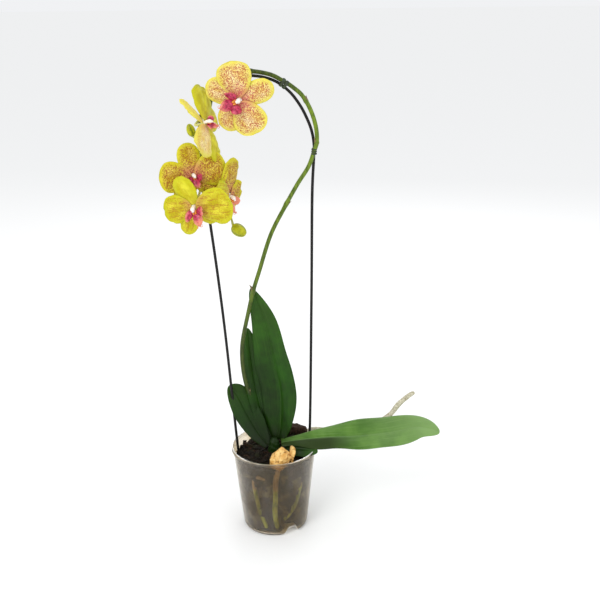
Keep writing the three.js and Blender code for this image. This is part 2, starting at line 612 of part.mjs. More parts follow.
const frames = {};
for (const [name, flower] of Object.entries(FLOWERS)) frames[name] = flowerFrame(flower);
for (const [name, flower] of Object.entries(FLOWERS)) {
  addPiece(`${name}_stalk_column`, COLUMN_WHITE, (grow) => stalkAndColumn(flower, frames[name], grow));
  addPiece(`${name}_lip`, LIP_MAGENTA, (grow) => lip(flower, frames[name], grow));
}
addPiece("spike_bract", DRY_SHEATH, bract);
for (const [name, form] of Object.entries(BUDS)) addPiece(name, BUD_GREEN, (grow) => bud(form, grow));
for (const [name, flower] of Object.entries(FLOWERS)) {
  for (const part of Object.keys(TEPALS)) {
    addPiece(`${name}_${part}`, TEPAL_YELLOW, (grow) => tepal(flower, frames[name], part, grow));
  }
}

export default plant;
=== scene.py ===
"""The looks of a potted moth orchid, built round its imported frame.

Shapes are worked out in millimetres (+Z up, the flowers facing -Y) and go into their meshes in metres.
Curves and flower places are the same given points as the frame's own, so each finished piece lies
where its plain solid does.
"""
import math

import bmesh
import bpy
import numpy as np
from mathutils import Euler, Matrix, Vector, noise


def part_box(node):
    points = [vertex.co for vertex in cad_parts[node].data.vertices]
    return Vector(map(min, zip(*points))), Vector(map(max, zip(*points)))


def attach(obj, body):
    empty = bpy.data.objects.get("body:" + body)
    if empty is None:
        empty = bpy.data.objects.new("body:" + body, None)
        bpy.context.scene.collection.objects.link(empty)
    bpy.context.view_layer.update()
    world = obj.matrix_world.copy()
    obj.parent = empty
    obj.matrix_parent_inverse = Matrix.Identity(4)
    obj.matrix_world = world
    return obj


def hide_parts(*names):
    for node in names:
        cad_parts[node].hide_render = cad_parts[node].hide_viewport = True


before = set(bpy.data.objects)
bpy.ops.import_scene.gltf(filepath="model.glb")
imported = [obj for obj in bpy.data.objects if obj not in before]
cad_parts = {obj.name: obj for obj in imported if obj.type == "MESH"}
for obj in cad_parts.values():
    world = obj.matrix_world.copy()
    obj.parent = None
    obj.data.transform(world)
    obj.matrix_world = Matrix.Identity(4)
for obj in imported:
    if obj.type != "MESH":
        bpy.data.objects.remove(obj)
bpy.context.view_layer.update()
MM = 0.001


# ================================================================ small tools
def unit(v):
    v = np.asarray(v, float)
    return v / np.maximum(np.linalg.norm(v, axis=-1, keepdims=True), 1e-9)


def smoothstep(low, high, x):
    t = np.clip((np.asarray(x, float) - low) / (high - low), 0, 1)
    return t * t * (3 - 2 * t)


class Spline:
    """A smooth curve through given points; t runs from 0 to 1 with equal steps between points."""

    def __init__(self, points):
        p = np.array(points, float)
        self.points = np.vstack([2 * p[0] - p[1], p, 2 * p[-1] - p[-2]])
        self.spans = len(p) - 1

    def _cubic(self, t):
        s = np.clip(np.asarray(t, float), 0, 1) * self.spans
        i = np.minimum(s.astype(int), self.spans - 1)
        a, b, c, d = (self.points[i + k] for k in range(4))
        w = (s - i)[..., None]
        return a, b, c, d, w

    def at(self, t):
        a, b, c, d, w = self._cubic(t)
        square, cube = 2 * a - 5 * b + 4 * c - d, 3 * b - a - 3 * c + d
        return 0.5 * (2 * b + (c - a) * w + square * w**2 + cube * w**3)

    def tangent(self, t):
        a, b, c, d, w = self._cubic(t)
        return unit((c - a) + 2 * (2 * a - 5 * b + 4 * c - d) * w + 3 * (3 * b - a - 3 * c + d) * w**2)

    def measured(self, count):
        """`count` values of t, and how many millimetres along the curve each lies."""
        t = np.linspace(0, 1, count)
        return t, np.concatenate([[0], np.cumsum(np.linalg.norm(np.diff(self.at(t), axis=0), axis=1))])


def bend(a, b, c, steps):
    """Points of the curve that leaves a towards b and arrives at c."""
    a, b, c = (np.array(p, float) for p in (a, b, c))
    return [(1 - w) ** 2 * a + 2 * w * (1 - w) * b + w**2 * c for w in np.linspace(0, 1, steps + 1)]


def ring_faces(rings, sides):
    """Faces of a closed body of rings, with a pole as its first vertex and one as its last."""
    faces = []
    last = 1 + (rings - 1) * sides
    for j in range(sides):
        k = (j + 1) % sides
        faces.append((0, 1 + k, 1 + j))
        for a in range(1, last, sides):
            faces.append((a + j, a + k, a + sides + k, a + sides + j))
        faces.append((last + j, last + k, last + sides))
    return faces


def mesh_from(name, vertices, faces, uv=None, attributes=None, face_materials=None):
    """A smooth-shaded mesh from vertices in millimetres, with an optional UV and float value per vertex."""
    mesh = bpy.data.meshes.new(name)
    mesh.from_pydata((np.asarray(vertices) * MM).tolist(), [], [list(map(int, f)) for f in faces])
    mesh.polygons.foreach_set("use_smooth", [True] * len(mesh.polygons))
    if face_materials is not None:
        mesh.polygons.foreach_set("material_index", np.asarray(face_materials, np.int32))
    if uv is not None:
        layer = mesh.uv_layers.new(name="surface")
        corner = np.zeros(len(mesh.loops), np.int32)
        mesh.loops.foreach_get("vertex_index", corner)
        layer.data.foreach_set("uv", np.asarray(uv, np.float32)[corner].ravel())
    for key, values in (attributes or {}).items():
        layer = mesh.attributes.new(key, "FLOAT", "POINT")
        layer.data.foreach_set("value", np.asarray(values, np.float32))
    mesh.update()
    return mesh


def placed(name, data):
    """A new object at the origin of the scene."""
    made = bpy.data.objects.new(name, data)
    bpy.context.scene.collection.objects.link(made)
    return made


def turned_outward(mesh):
    work = bmesh.new()
    work.from_mesh(mesh)
    bmesh.ops.recalc_face_normals(work, faces=work.faces)
    work.to_mesh(mesh)
    work.free()
    return mesh


def finish_piece(name, mesh, materials, slot, *nodes):
    """Puts a finished mesh, or a pile of shells, in the scene as the piece that stands for these nodes."""
    if isinstance(mesh, Pile):
        mesh = mesh.mesh(name)
    piece = placed(name, mesh)
    kinds = np.zeros(len(mesh.polygons), np.int32)
    mesh.polygons.foreach_get("material_index", kinds)
    mesh.materials.clear()
    for material in materials:
        mesh.materials.append(material)
    mesh.polygons.foreach_set("material_index", np.minimum(kinds, len(materials) - 1))
    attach(piece, "root")
    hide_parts(*nodes)
    return piece


class Pile:
    """Gathers closed shells into one piece, with their materials, UVs and attributes."""

    def __init__(self):
        self.vertices, self.faces, self.uv, self.materials, self.facts = [], [], [], [], {}
        self.count = 0

    def add(self, vertices, faces, materials=None, **facts):
        self.vertices.append(vertices)
        self.faces += [tuple(int(i) + self.count for i in face) for face in faces]
        self.materials += list(materials or [0] * len(faces))
        if "uv" in facts:
            self.uv.append(facts.pop("uv"))
        for key, values in facts.items():
            self.facts.setdefault(key, []).append(np.broadcast_to(values, len(vertices)))
        self.count += len(vertices)

    def mesh(self, name):
        facts = {key: np.concatenate(parts) for key, parts in self.facts.items()}
        uv = np.vstack(self.uv) if self.uv else None
        vertices = np.vstack(self.vertices)
        return turned_outward(mesh_from(name, vertices, self.faces, uv, facts, self.materials))


# ================================================================ shared dimensions (millimetres)
pot_high = np.array(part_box("pot")[1]) / MM
POT_HEIGHT = pot_high[2]
POT_RIM_RADIUS = pot_high[0]
POT_BASE_RADIUS = 45.5
POT_WALL = 1.2
POT_LIP_HEIGHT = 5.0
POT_LIP_WIDTH = 2.2
NOTCHES = (-59.0, 121.0)
NOTCH_FOOT_WIDTH, NOTCH_TOP_WIDTH, NOTCH_HEIGHT, NOTCH_DEPTH = 23.0, 9.0, 12.0, 11.0
DRAIN_HOLES, DRAIN_RADIUS, DRAIN_CIRCLE_RADIUS = 6, 3.5, 24.0
BARK_Z = POT_HEIGHT - 9.0
BARK_MOUND, BARK_BACK_MOUND = 9.0, 7.0
GAP = 0.35

HOOP_RADIUS = 1.9
HOOP_RISE = 516.0
HOOP_WIDTH = 145.0
HOOP_FEET_Z = 26.0
HOOP_WALL_INSET = 3.6
SPIKE_RADIUS = 2.8
ROOT_RADIUS = 3.4
COLUMN_RADIUS = 2.3
FRONT = np.array([0.0, -1.0, 0.0])
UP = np.array([0.0, 0.0, 1.0])

pot_outer_top = POT_RIM_RADIUS - POT_LIP_WIDTH


def pot_outer_radius(z):
    return POT_BASE_RADIUS + (pot_outer_top - POT_BASE_RADIUS) * z / (POT_HEIGHT - POT_LIP_HEIGHT)


def pot_inner_radius(z):
    return pot_outer_radius(z) - POT_WALL


def bark(x, y, z):
    """A point given by its height above the bark."""
    return (x, y, BARK_Z + z)


def above_bark(share):
    return BARK_Z + share * HOOP_RISE


# ================================================================ the wire hoop's and the spike's lines
HOOP_ARCH = [
    (0.372, 10, 0.426), (0.383, 5, 0.696), (0.399, 1, 0.8), (0.401, 0, 0.835), (0.381, 0, 0.868),
    (0.341, 0, 0.898), (0.283, 0, 0.929), (0.199, 0, 0.96), (0.09, 0, 0.984), (-0.028, 0, 0.996),
    (-0.152, 0, 1), (-0.29, 0, 0.998), (-0.414, 0, 0.983), (-0.503, 0, 0.955), (-0.562, 0, 0.918),
    (-0.593, 0, 0.872), (-0.595, 0, 0.82), (-0.565, 1, 0.72), (-0.531, 2, 0.632), (-0.482, 3.5, 0.49),
    (-0.433, 5, 0.32),
]
HOOP_RIGHT_Y, HOOP_LEFT_Y = 17.0, 8.0


def leg_point(side, y, z):
    reach = pot_inner_radius(z) - HOOP_WALL_INSET
    return (side * math.sqrt(reach**2 - y**2), y, z)


hoop_points = [
    leg_point(1, HOOP_RIGHT_Y - 3, HOOP_FEET_Z),
    leg_point(1, HOOP_RIGHT_Y, BARK_Z),
    *[(x * HOOP_WIDTH, y, above_bark(share)) for x, y, share in HOOP_ARCH],
    leg_point(-1, HOOP_LEFT_Y, BARK_Z),
    leg_point(-1, HOOP_LEFT_Y - 2, HOOP_FEET_Z),
]
hoop_line = Spline(hoop_points)


def beside_hoop(index, out, forward):
    t = index / hoop_line.spans
    outward = unit(np.cross(hoop_line.tangent(t), FRONT))
    return hoop_line.at(t) + outward * out + FRONT * forward


TOUCH = HOOP_RADIUS + SPIKE_RADIUS + GAP
SIDE_TIE, TOP_TIE = 4.4, 9.6
spike_climb = [
    (-13, 9, 0.025), (-22, 13, 0.085), (-33, 14, 0.15), (-39.5, 11, 0.205), (-42, 8, 0.265), (-40, 4, 0.32),
    (-31.7, -2, 0.395), (-23.5, -5, 0.461), (-14.7, -5, 0.515), (0.9, -4, 0.6075), (18.9, -3, 0.676),
    (36.6, -3, 0.737),
]
spike_ride = [
    (3.7, -6.5, 4.6), (SIDE_TIE, 0, TOUCH + 0.1), (5.2, 4, 4.4), (6.2, 6.6, 2.2), (7.4, 8.6, 0.5),
    (8.4, 9, 0), (9.1, 6.8, 0), (TOP_TIE, TOUCH + 0.2, 0), (10.6, TOUCH + 0.2, 0), (12, TOUCH + 0.3, 0),
    (13.2, 4.4, -4),
    (14.4, -1, -6), (15.6, -7.5, -5.6), (16.8, -10, -5.4), (18, -10, -5.4),
]
spike_tip = [(-74, 7, 0.755), (-64, 8, 0.705), (-54, 7, 0.672)]
spike_points = (
    [(x, y, above_bark(share)) for x, y, share in spike_climb]
    + [tuple(beside_hoop(*place)) for place in spike_ride]
    + [(x, y, above_bark(share)) for x, y, share in spike_tip]
)
RIDE_START = len(spike_climb)
spike_line = Spline(spike_points)


def spike_at(index):
    return spike_line.at(index / spike_line.spans)


# ================================================================ materials
UV_UNIT = 60.0  # millimetres of surface for each unit of UV


def colour(code):
    """An sRGB hex code as the linear colour that shader sockets take."""
    parts = [int(code[i:i + 2], 16) / 255 for i in (0, 2, 4)]
    return (*[c / 12.92 if c <= 0.04045 else ((c + 0.055) / 1.055) ** 2.4 for c in parts], 1.0)


def add(tree, kind, inputs=None, gives=0, **settings):
    """Adds a node and gives one of its outputs, or the node itself when `gives` is None. `inputs` has a
    value, or the output that feeds it, for each socket by name or number."""
    made = tree.nodes.new(kind)
    for key, value in settings.items():
        setattr(made, key, value)
    for key, value in (inputs or {}).items():
        if isinstance(value, bpy.types.NodeSocket):
            tree.links.new(value, made.inputs[key])
        else:
            made.inputs[key].default_value = value
    return made if gives is None else made.outputs[gives]


class Finish:
    """A material in the making: a ground colour, with others laid over it where patterns say.

    A pattern is an output, or a name: one of those given here as (size in millimetres, detail, roughness,
    coordinates) for soft clouds, or as one number for the height counted in that many millimetres, or else
    an attribute of the mesh. A range (pattern, low, high, start, end) runs smoothly from start to end. A
    colour is a hex code, or a range's first three with two codes to run between.
    """

    def __init__(self, name, ground, **patterns):
        self.material = bpy.data.materials.new(name)
        self.material.use_nodes = True
        self.tree = self.material.node_tree
        self.tree.nodes.clear()
        self.patterns = {}
        for key, form in patterns.items():
            if isinstance(form, tuple):
                self.patterns[key] = self.clouds(*form)
            else:
                self.patterns[key] = add(self.tree, "ShaderNodeSeparateXYZ", {0: self.place(form)}, "Z")
        self.body = self.tone(ground)

    def place(self, size, on="Object"):
        """Coordinates counted in steps of `size` millimetres: the object's, its UV map's or `on` itself."""
        size = size if isinstance(size, tuple) else (size,) * 3
        whole = 1
        if on == "Object":
            on, whole = add(self.tree, "ShaderNodeTexCoord", gives="Object"), 1 / MM
        elif on == "surface":
            on, whole = add(self.tree, "ShaderNodeUVMap", uv_map="surface"), UV_UNIT
        return add(self.tree, "ShaderNodeMapping", {"Vector": on, "Scale": [whole / s for s in size]})

    def clouds(self, size, detail=3.0, rough=0.55, on="Object"):
        return add(self.tree, "ShaderNodeTexNoise", {
            "Vector": self.place(size, on), "Scale": 1.0, "Detail": detail, "Roughness": rough})

    def pattern(self, source):
        if not isinstance(source, str):
            return source
        if source not in self.patterns:
            self.patterns[source] = add(self.tree, "ShaderNodeAttribute", gives="Fac", attribute_name=source)
        return self.patterns[source]

    def share(self, *ranges):
        """The product of ranges, or of patterns as they are."""
        product = None
        for part in ranges:
            if isinstance(part, tuple):
                source, low, high, start, end = (*part, 0.0, 1.0)[:5]
                stretch = {0: self.pattern(source), 1: low, 2: high, 3: start, 4: end}
                part = add(self.tree, "ShaderNodeMapRange", stretch, interpolation_type="SMOOTHSTEP")
            part = self.pattern(part)
            product = part if product is None else add(
                self.tree, "ShaderNodeMath", {0: product, 1: part}, operation="MULTIPLY")
        return product

    def total(self, *parts, plus=0.0):
        """The sum of patterns, each given with its weight."""
        for source, weight in parts:
            plus = add(self.tree, "ShaderNodeMath", {0: self.pattern(source), 1: weight, 2: plus},
                       operation="MULTIPLY_ADD")
        return plus

    def tone(self, look):
        if isinstance(look, tuple):
            *stretch, first, second = look
            look = add(self.tree, "ShaderNodeMix", {
                0: self.share(tuple(stretch)), 6: colour(first), 7: colour(second)}, 2, data_type="RGBA")
        return colour(look) if isinstance(look, str) else look

    def lay(self, look, *ranges):
        """Lays a colour over the ones so far, as strongly as the ranges say."""
        self.body = add(self.tree, "ShaderNodeMix", {
            0: self.share(*ranges), 6: self.body, 7: self.tone(look)}, 2, data_type="RGBA")
        return self

    def done(self, inputs, relief=None, depth=0.0, strength=1.0):
        """Ends the material: `relief` is the pattern that raises the skin, `depth` millimetres high."""
        inputs = {"Base Color": self.body, **inputs}
        if isinstance(inputs["Roughness"], tuple):
            inputs["Roughness"] = self.share(inputs["Roughness"])
        if relief is not None:
            inputs["Normal"] = add(self.tree, "ShaderNodeBump", {
                "Height": self.pattern(relief), "Distance": depth * MM, "Strength": strength})
        shader = add(self.tree, "ShaderNodeBsdfPrincipled", inputs)
        add(self.tree, "ShaderNodeOutputMaterial", {"Surface": shader}, None)
        return self.material


def glow(weight, radius, depth):
    """How much light passes into living tissue, in which colours and how many millimetres deep."""
    return {"Subsurface Weight": weight, "Subsurface Radius": radius, "Subsurface Scale": depth * MM}


def gloss(weight, rough):
    """A wax or a film on top."""
    return {"Coat Weight": weight, "Coat Roughness": rough}


# Clear polypropylene, injection-moulded: a hazy grey-brown wall that lets the dark fill show through.
wall = Finish("polypropylene, clear, injection-moulded", ("haze", 0.38, 0.62, "F2E6D2", "D2BF98"),
              haze=((34, 34, 60), 2), height=POT_HEIGHT)
cloudy, lip = wall.share(("haze", 0.3, 0.7, 0.09, 0.16)), wall.share(("height", 0.94, 0.965))
wall_rough = wall.total((cloudy, 1), (lip, 0.24))
POT_PLASTIC = wall.done({
    "Roughness": wall_rough, "IOR": 1.36, "Specular IOR Level": 0.35, "Transmission Weight": 0.962})

# The same polypropylene where it is folded in at a notch: thicker, scuffed, nearly white.
RECESS_PLASTIC = Finish(
    "polypropylene, clear, scuffed in the notches", ("scuffs", 0.35, 0.7, "F4F1EA", "E2DCD0"),
    scuffs=((3, 3, 8), 3),
).done(
    {"Roughness": ("scuffs", 0.3, 0.7, 0.35, 0.55), "IOR": 1.36, "Transmission Weight": 0.15},
    "scuffs", 0.15, 0.4)

# Composted pine bark, wet and screened: near-black pieces, with brown, olive and mossy faces.
BARK_FINISH = Finish(
    "pine bark, composted and screened", ("grain", 0.3, 0.75, "0B0A07", "261E14"),
    grain=((1.6, 1.6, 5), 5, 0.65), patch=(17, 2), height=BARK_Z,
).lay(
    ("grain", 0.3, 0.75, "1E140E", "4A3222"), ("shade", 0.62, 0.95)
).lay(
    ("grain", 0.3, 0.75, "14150A", "3A3C1C"), ("patch", 0.55, 0.66, 0, 0.5)
).lay(
    ("grain", 0.3, 0.75, "3A3820", "857B52"), ("patch", 0.5, 0.62), ("height", 0.94, 0.86)
).done({"Roughness": ("grain", 0.2, 0.8, 0.95, 0.62), "Specular IOR Level": 0.15}, "grain", 0.9, 0.9)

# Fresh pine bark, broken: golden tan with open brown cracks along its layers.
broken = Finish("pine bark, fresh broken face", "8A5426", layers=((5, 9, 3.4), 4, 0.6))
cracks = add(broken.tree, "ShaderNodeTexVoronoi", {"Vector": broken.place((9, 14, 15)), "Scale": 1.0},
             "Distance", feature="DISTANCE_TO_EDGE")
crack = broken.share((broken.total((cracks, 1), ("layers", 0.16)), 0.06, 0.12))
PALE_BARK_FINISH = broken.lay(("layers", 0.3, 0.7, "D29A48", "F0CC84"), crack).done(
    {"Roughness": 0.82}, broken.total((crack, 1), ("layers", 1)), 1.0, 0.8)

# Living orchid root behind plastic: yellow-green, with brown-beige skin where it has dried.
wet = Finish("orchid root, living, wet velamen", ("mottle", 0.3, 0.7, "6E821A", "B4C22E"),
             mottle=((3.5, 3.5, 9), 4))
ROOT_FINISH = wet.lay(
    ("mottle", 0.3, 0.7, "7A6238", "B89C68"), (wet.total(("dry", 1), ("mottle", 0.5)), 0.55, 0.95)
).done({"Roughness": 0.42}, "mottle", 0.5, 0.6)

# Aerial orchid root, dry velamen: silvery beige papery skin with faint rings and a few brown scars.
silver = Finish("orchid root, aerial, dry velamen", ("mottle", 0.3, 0.7, "A29C80", "D6D1BA"),
                mottle=(2.5, 5), patch=(11, 2))
RING_SPACING = 3.1
rings = add(silver.tree, "ShaderNodeMath", {0: silver.total(("along", 2 * math.pi / RING_SPACING))},
            operation="SINE")
SILVER_ROOT_FINISH = silver.lay("8C7A5B", ("patch", 0.58, 0.72)).done(
    {"Roughness": 0.86}, silver.total(("mottle", 1), (rings, 0.12)), 0.6, 0.7)


def leaf_finish(name, deep, fresh, veil, painted_shade_tone, sunny):
    """Orchid leaf, thick and waxy: long fine veins, a darker keel groove and a soft clear gloss. Painted
    light lightens it towards the tip, and painted shade darkens its base and one half of it.
    """
    skin = Finish(name, ("clouds", 0.3, 0.78, deep, fresh), clouds=(26, 3),
                  veins=((1.5, 46, 1), 2, 0.5, "surface"), pores=((0.9, 0.9, 1), 2, 0.55, "surface"))
    skin.lay(veil, ("veins", 0.45, 0.72, 0, 0.16)).lay(veil, ("centre", 0.55, 1.0, 0, 0.55))
    # Laid last: painted light towards the tip, then painted shade.
    skin.lay(fresh, ("margin", 1.6, 0.2, 0, 0.45)).lay(veil, skin.total(("sunlit", sunny))).lay(painted_shade_tone, "dusk")
    return skin.done({
        "Roughness": ("clouds", 0.3, 0.7, 0.36, 0.48), "IOR": 1.4, "Specular IOR Level": 0.25,
        **gloss(0.04, 0.3), **glow(0.06, (0.5, 1.0, 0.2), 1.5),
    }, skin.total(("veins", 0.8), ("pores", 0.25)), 0.3, 0.5)


LEAF_DARK = leaf_finish("orchid leaf, waxy, deep green", "153402", "225006", "456E1C", "0E1902", 0.3)
# A copy of the leaf finish in lighter grey-green for leaf_right, which faces up: the lighter tone is painted
# light.
LEAF_PAINTED_LIT = leaf_finish("orchid leaf, waxy, grey-green with painted light", "416820", "5C8434", "8DAE6C", "24330C", 0.6)

# Orchid flower spike, living: green skin that darkens to olive-brown on the stretches set in make_spike.
SPIKE_FINISH = Finish(
    "orchid spike, living, waxy skin", ("streak", 0.32, 0.68, "4A6408", "7A9420"),
    streak=((3, 3, 16), 4), flecks=(1.1, 2),
).lay(("streak", 0.32, 0.68, "1C2409", "333F12"), "old").lay("33281A", ("flecks", 0.58, 0.7, 0, 0.3)).done(
    {"Roughness": 0.42, "Specular IOR Level": 0.3, **gloss(0.06, 0.3)}, "streak", 0.4, 0.5)

# Dried orchid sheath, papery: straw brown with darker long fibres.
SHEATH_FINISH = Finish("orchid sheath, dried to paper", ("fibre", 0.35, 0.65, "463821", "94805A"),
                       fibre=((1, 1, 7), 4)).done({"Roughness": 0.85}, "fibre", 0.4, 0.8)

# Steel wire, dip-coated in black vinyl: near-black, satin, with a slight orange-peel skin.
WIRE_FINISH = Finish(
    "steel wire, black vinyl dip-coated", ("dust", 0.45, 0.75, "0A0908", "1B1816"),
    peel=(2.2, 2), dust=(15, 3),
).done(
    {"Roughness": ("dust", 0.4, 0.75, 0.34, 0.5), "IOR": 1.52, "Specular IOR Level": 0.25}, "peel", 0.12, 0.4)

# Garden tie, extruded soft vinyl: dark green, dull, with fine lengthwise ribs.
TIE_FINISH = Finish("garden tie, dark green vinyl, extruded", ("ribs", 0.35, 0.65, "1B2417", "36452C"),
                    ribs=((9, 9, 0.5), 1)).done({"Roughness": 0.5}, "ribs", 0.2, 0.6)

PETAL_GLOW = glow(0.16, (1.0, 0.75, 0.25), 1.2)
# Real flecks are under 1 mm; they are drawn this wide and long so that they read at arm's length.
FLECK_SIZE = (1.1, 2.0, 1)


def petal_face(name, flesh, cream, edge, fleck, fleck_deep, dense, veined):
    """Orchid petal, its face: waxy yellow, thick with short red-brown flecks that run along the veins."""
    skin = Finish(name, ("clouds", 0.35, 0.65, flesh, cream),
                  clouds=((1 / 0.09, 1 / 0.06, 1), 3, 0.55, "surface"),
                  drift=((1 / 0.12, 10, 1), 3, 0.55, "surface"))
    place = skin.place(1, "surface")
    wander = add(skin.tree, "ShaderNodeTexNoise", {"Vector": place, "Scale": 0.16, "Detail": 2.0}, "Color")
    shift = add(skin.tree, "ShaderNodeVectorMath", {0: wander, "Scale": 3.0}, operation="SCALE")
    bent = add(skin.tree, "ShaderNodeVectorMath", {0: place, 1: shift}, operation="ADD")
    skin.patterns["veins"] = skin.clouds((1 / 0.7, 20, 1), 2, 0.55, bent)
    rows = {"Vector": skin.place(FLECK_SIZE, bent), "Scale": 1.0, "Randomness": 0.8}
    cells = add(skin.tree, "ShaderNodeTexVoronoi", rows, None, voronoi_dimensions="2D").outputs
    size = add(skin.tree, "ShaderNodeSeparateColor", {"Color": cells["Color"]})
    inner = skin.share((skin.total(("margin", 1), ("drift", -6.0)), -3.5, 3.5), ("along", 1.02, 0.8))
    reach = skin.share(inner, "flecked", skin.total((size, 0.6 * dense), plus=0.55 * dense))
    spot = skin.share((skin.total((reach, 1), (cells["Distance"], -1)), -0.05, 0.08))
    ink = skin.tone(("along", 0.12, 0.6, fleck_deep, fleck))
    line = skin.share(("veins", 0.52, 0.62, 0, veined), ("flecked", 0.05, 0.5), inner)
    skin.lay(edge, ("margin", 13.0, 0.0, 0, 0.9)).lay("CB7068", ("along", 0.4, 0.05, 0, 0.7), "flecked")
    skin.lay(ink, skin.total((spot, 0.86))).lay(ink, line)
    return skin.done({
        "Roughness": 0.55, "IOR": 1.4, "Specular IOR Level": 0.25,
        "Sheen Weight": 0.04, "Sheen Roughness": 0.5, **PETAL_GLOW,
    }, skin.total(("veins", 1), (spot, 0.18)), 0.7, 0.6)


PETAL_FACE = petal_face(
    "orchid petal, waxy, flecked face", "C6AE1C", "E4D058", "CCC622", "94401C", "982A3C", 0.5, 0.3)
PETAL_CREAM = petal_face(
    "orchid petal, waxy, cream, flecked face", "E4C86C", "F4E4A8", "DED44E", "A84234", "B23A50", 0.48, 0.2)
PETAL_PLAIN = petal_face(
    "orchid petal, waxy, faintly flecked face", "BAAC0A", "DED838", "C2C01A", "A8641C", "A0402E", 0.44, 0.7)

# Orchid petal, its back: plain waxy yellow, greener along the keel, with darker long veins.
PETAL_BACK = Finish(
    "orchid petal, waxy, back", ("clouds", 0.35, 0.65, "CFC52A", "DFD745"),
    clouds=((12.5, 20, 1), 3, 0.55, "surface"), veins=((1 / 0.6, 25, 1), 2, 0.55, "surface"),
).lay("BFA02E", ("veins", 0.5, 0.66, 0, 0.4)).lay("AEB82A", ("along", 0.5, 0.0, 0, 0.5)).lay(
    "C4CC2C", ("margin", 3.0, 0.3, 0, 0.5)
).done({"Roughness": 0.52, "IOR": 1.4, "Specular IOR Level": 0.25, **PETAL_GLOW}, "veins", 0.6, 0.6)

# Orchid lip: glossy crimson lobes, coral towards their edges, with an orange-yellow crest inside.
# Its `zone` is 0 at the crest, 1 on the crimson lobes and 2 at their coral ends.
lobes = Finish("orchid lip, waxy", "DE8A2C", mottle=(2.6, 3))
lobes.lay(("mottle", 0.35, 0.65, "8C0F34", "CE3A60"), ("zone", 0.25, 0.85))
lobes.lay("E08A6E", (lobes.total(("zone", 1), ("mottle", 0.3)), 1.5, 2.1))
LIP_FINISH = lobes.done(
    {"Roughness": 0.36, "IOR": 1.42, **gloss(0.15, 0.25), **glow(0.12, (1.0, 0.4, 0.3), 1.0)},
    "mottle", 0.3, 0.5)

# Orchid column: smooth ivory flesh, blushed pink where it meets the petals.
COLUMN_FINISH = Finish(
    "orchid column, fleshy", ("mottle", 0.3, 0.7, "F2E4DA", "FBF4EA"), mottle=(3, 2),
).lay("D98A9C", ("along", 4.5, 0.5)).done(
    {"Roughness": 0.35, "IOR": 1.42, **glow(0.25, (1.0, 0.7, 0.5), 1.2)}, "mottle", 0.2, 0.4)

# Orchid flower stalk: thin pale green skin, greener where it leaves the spike.
STALK_FINISH = Finish(
    "orchid flower stalk, living", ("mottle", 0.3, 0.7, "7C8A34", "A7B04A"), mottle=((2, 2, 7), 3),
).lay("CFCB78", ("along", 8, 40)).done({"Roughness": 0.45}, "mottle", 0.2, 0.5)

# Closed orchid bud: taut lime-green skin with darker seams, yellower where light reaches it.
BUD_FINISH = Finish(
    "orchid bud, closed, waxy", ("clouds", 0.3, 0.7, "9C9E08", "C6C61C"), clouds=(6, 3), flecks=(1.0, 1),
).lay("5F7320", ("seam", 0.35, 0.0, 0, 0.7)).lay("8A5A3A", ("flecks", 0.6, 0.7, 0, 0.35)).done(
    {"Roughness": 0.42, "Specular IOR Level": 0.25, **gloss(0.04, 0.3), **glow(0.1, (0.7, 1.0, 0.2), 1.2)},
    "clouds", 0.2, 0.4)


# ================================================================ rods along a path, by geometry nodes
def new_tree(name, **inputs):
    """A geometry tree with these inputs (socket kind, usual value); gives it and its inputs' outputs."""
    tree = bpy.data.node_groups.new(name, "GeometryNodeTree")
    inputs = {"Geometry": ("Geometry", None), **inputs, "Finish": ("Material", None)}
    for key, (kind, usual) in inputs.items():
        socket = tree.interface.new_socket(key, in_out="INPUT", socket_type="NodeSocket" + kind)
        if usual is not None:
            socket.default_value = usual
    tree.interface.new_socket("Geometry", in_out="OUTPUT", socket_type="NodeSocketGeometry")
    return tree, add(tree, "NodeGroupInput", gives=None).outputs


def end_tree(tree, geometry, finish):
    """Makes every copy real, gives all its finish and ends the tree."""
    real = add(tree, "GeometryNodeRealizeInstances", {"Geometry": geometry})
    done = add(tree, "GeometryNodeSetMaterial", {"Geometry": real, "Material": finish})
    add(tree, "NodeGroupOutput", {"Geometry": done}, None)
    return tree


def rod_tree():
    """A round rod along a line of edges: the line's `radius` values, a `Sides` count and a `Finish`."""
    tree, given = new_tree("Rod along a path", Sides=("Int", 16))
    radius = add(tree, "GeometryNodeInputNamedAttribute", {"Name": "radius"}, data_type="FLOAT")
    line = add(tree, "GeometryNodeMeshToCurve", {"Mesh": given["Geometry"]})
    sized = add(tree, "GeometryNodeSetCurveRadius", {"Curve": line, "Radius": radius})
    length = add(tree, "GeometryNodeSplineParameter", gives="Length")
    along = add(tree, "GeometryNodeStoreNamedAttribute", {
        "Geometry": sized, "Name": "along_m", "Value": length}, data_type="FLOAT", domain="POINT")
    ring = add(tree, "GeometryNodeCurvePrimitiveCircle", {"Resolution": given["Sides"], "Radius": 1.0})
    skin = add(tree, "GeometryNodeCurveToMesh", {
        "Curve": along, "Profile Curve": ring, "Fill Caps": True}, None)
    if "Scale" in skin.inputs:
        tree.links.new(radius, skin.inputs["Scale"])
    smooth = add(tree, "GeometryNodeSetShadeSmooth", {"Geometry": skin.outputs[0]})
    return end_tree(tree, smooth, given["Finish"])


ROD = rod_tree()


def grown(tree, base, **inputs):
    """Runs a tree on a base mesh and gives the plain mesh that comes out."""
    holder = placed("holder", base)
    modifier = holder.modifiers.new("grow", "NODES")
    modifier.node_group = tree
    for item in tree.interface.items_tree:
        if item.item_type == "SOCKET" and item.in_out == "INPUT" and item.name in inputs:
            modifier[item.identifier] = inputs[item.name]
    graph = bpy.context.evaluated_depsgraph_get()
    result = bpy.data.meshes.new_from_object(holder.evaluated_get(graph), depsgraph=graph)
    bpy.data.objects.remove(holder)
    return result


def attribute_values(mesh, name):
    values = np.zeros(len(mesh.vertices), np.float32)
    mesh.attributes[name].data.foreach_get("value", values)
    return values


def set_attribute(mesh, name, values):
    layer = mesh.attributes.get(name) or mesh.attributes.new(name, "FLOAT", "POINT")
    layer.data.foreach_set("value", np.asarray(values, np.float32))


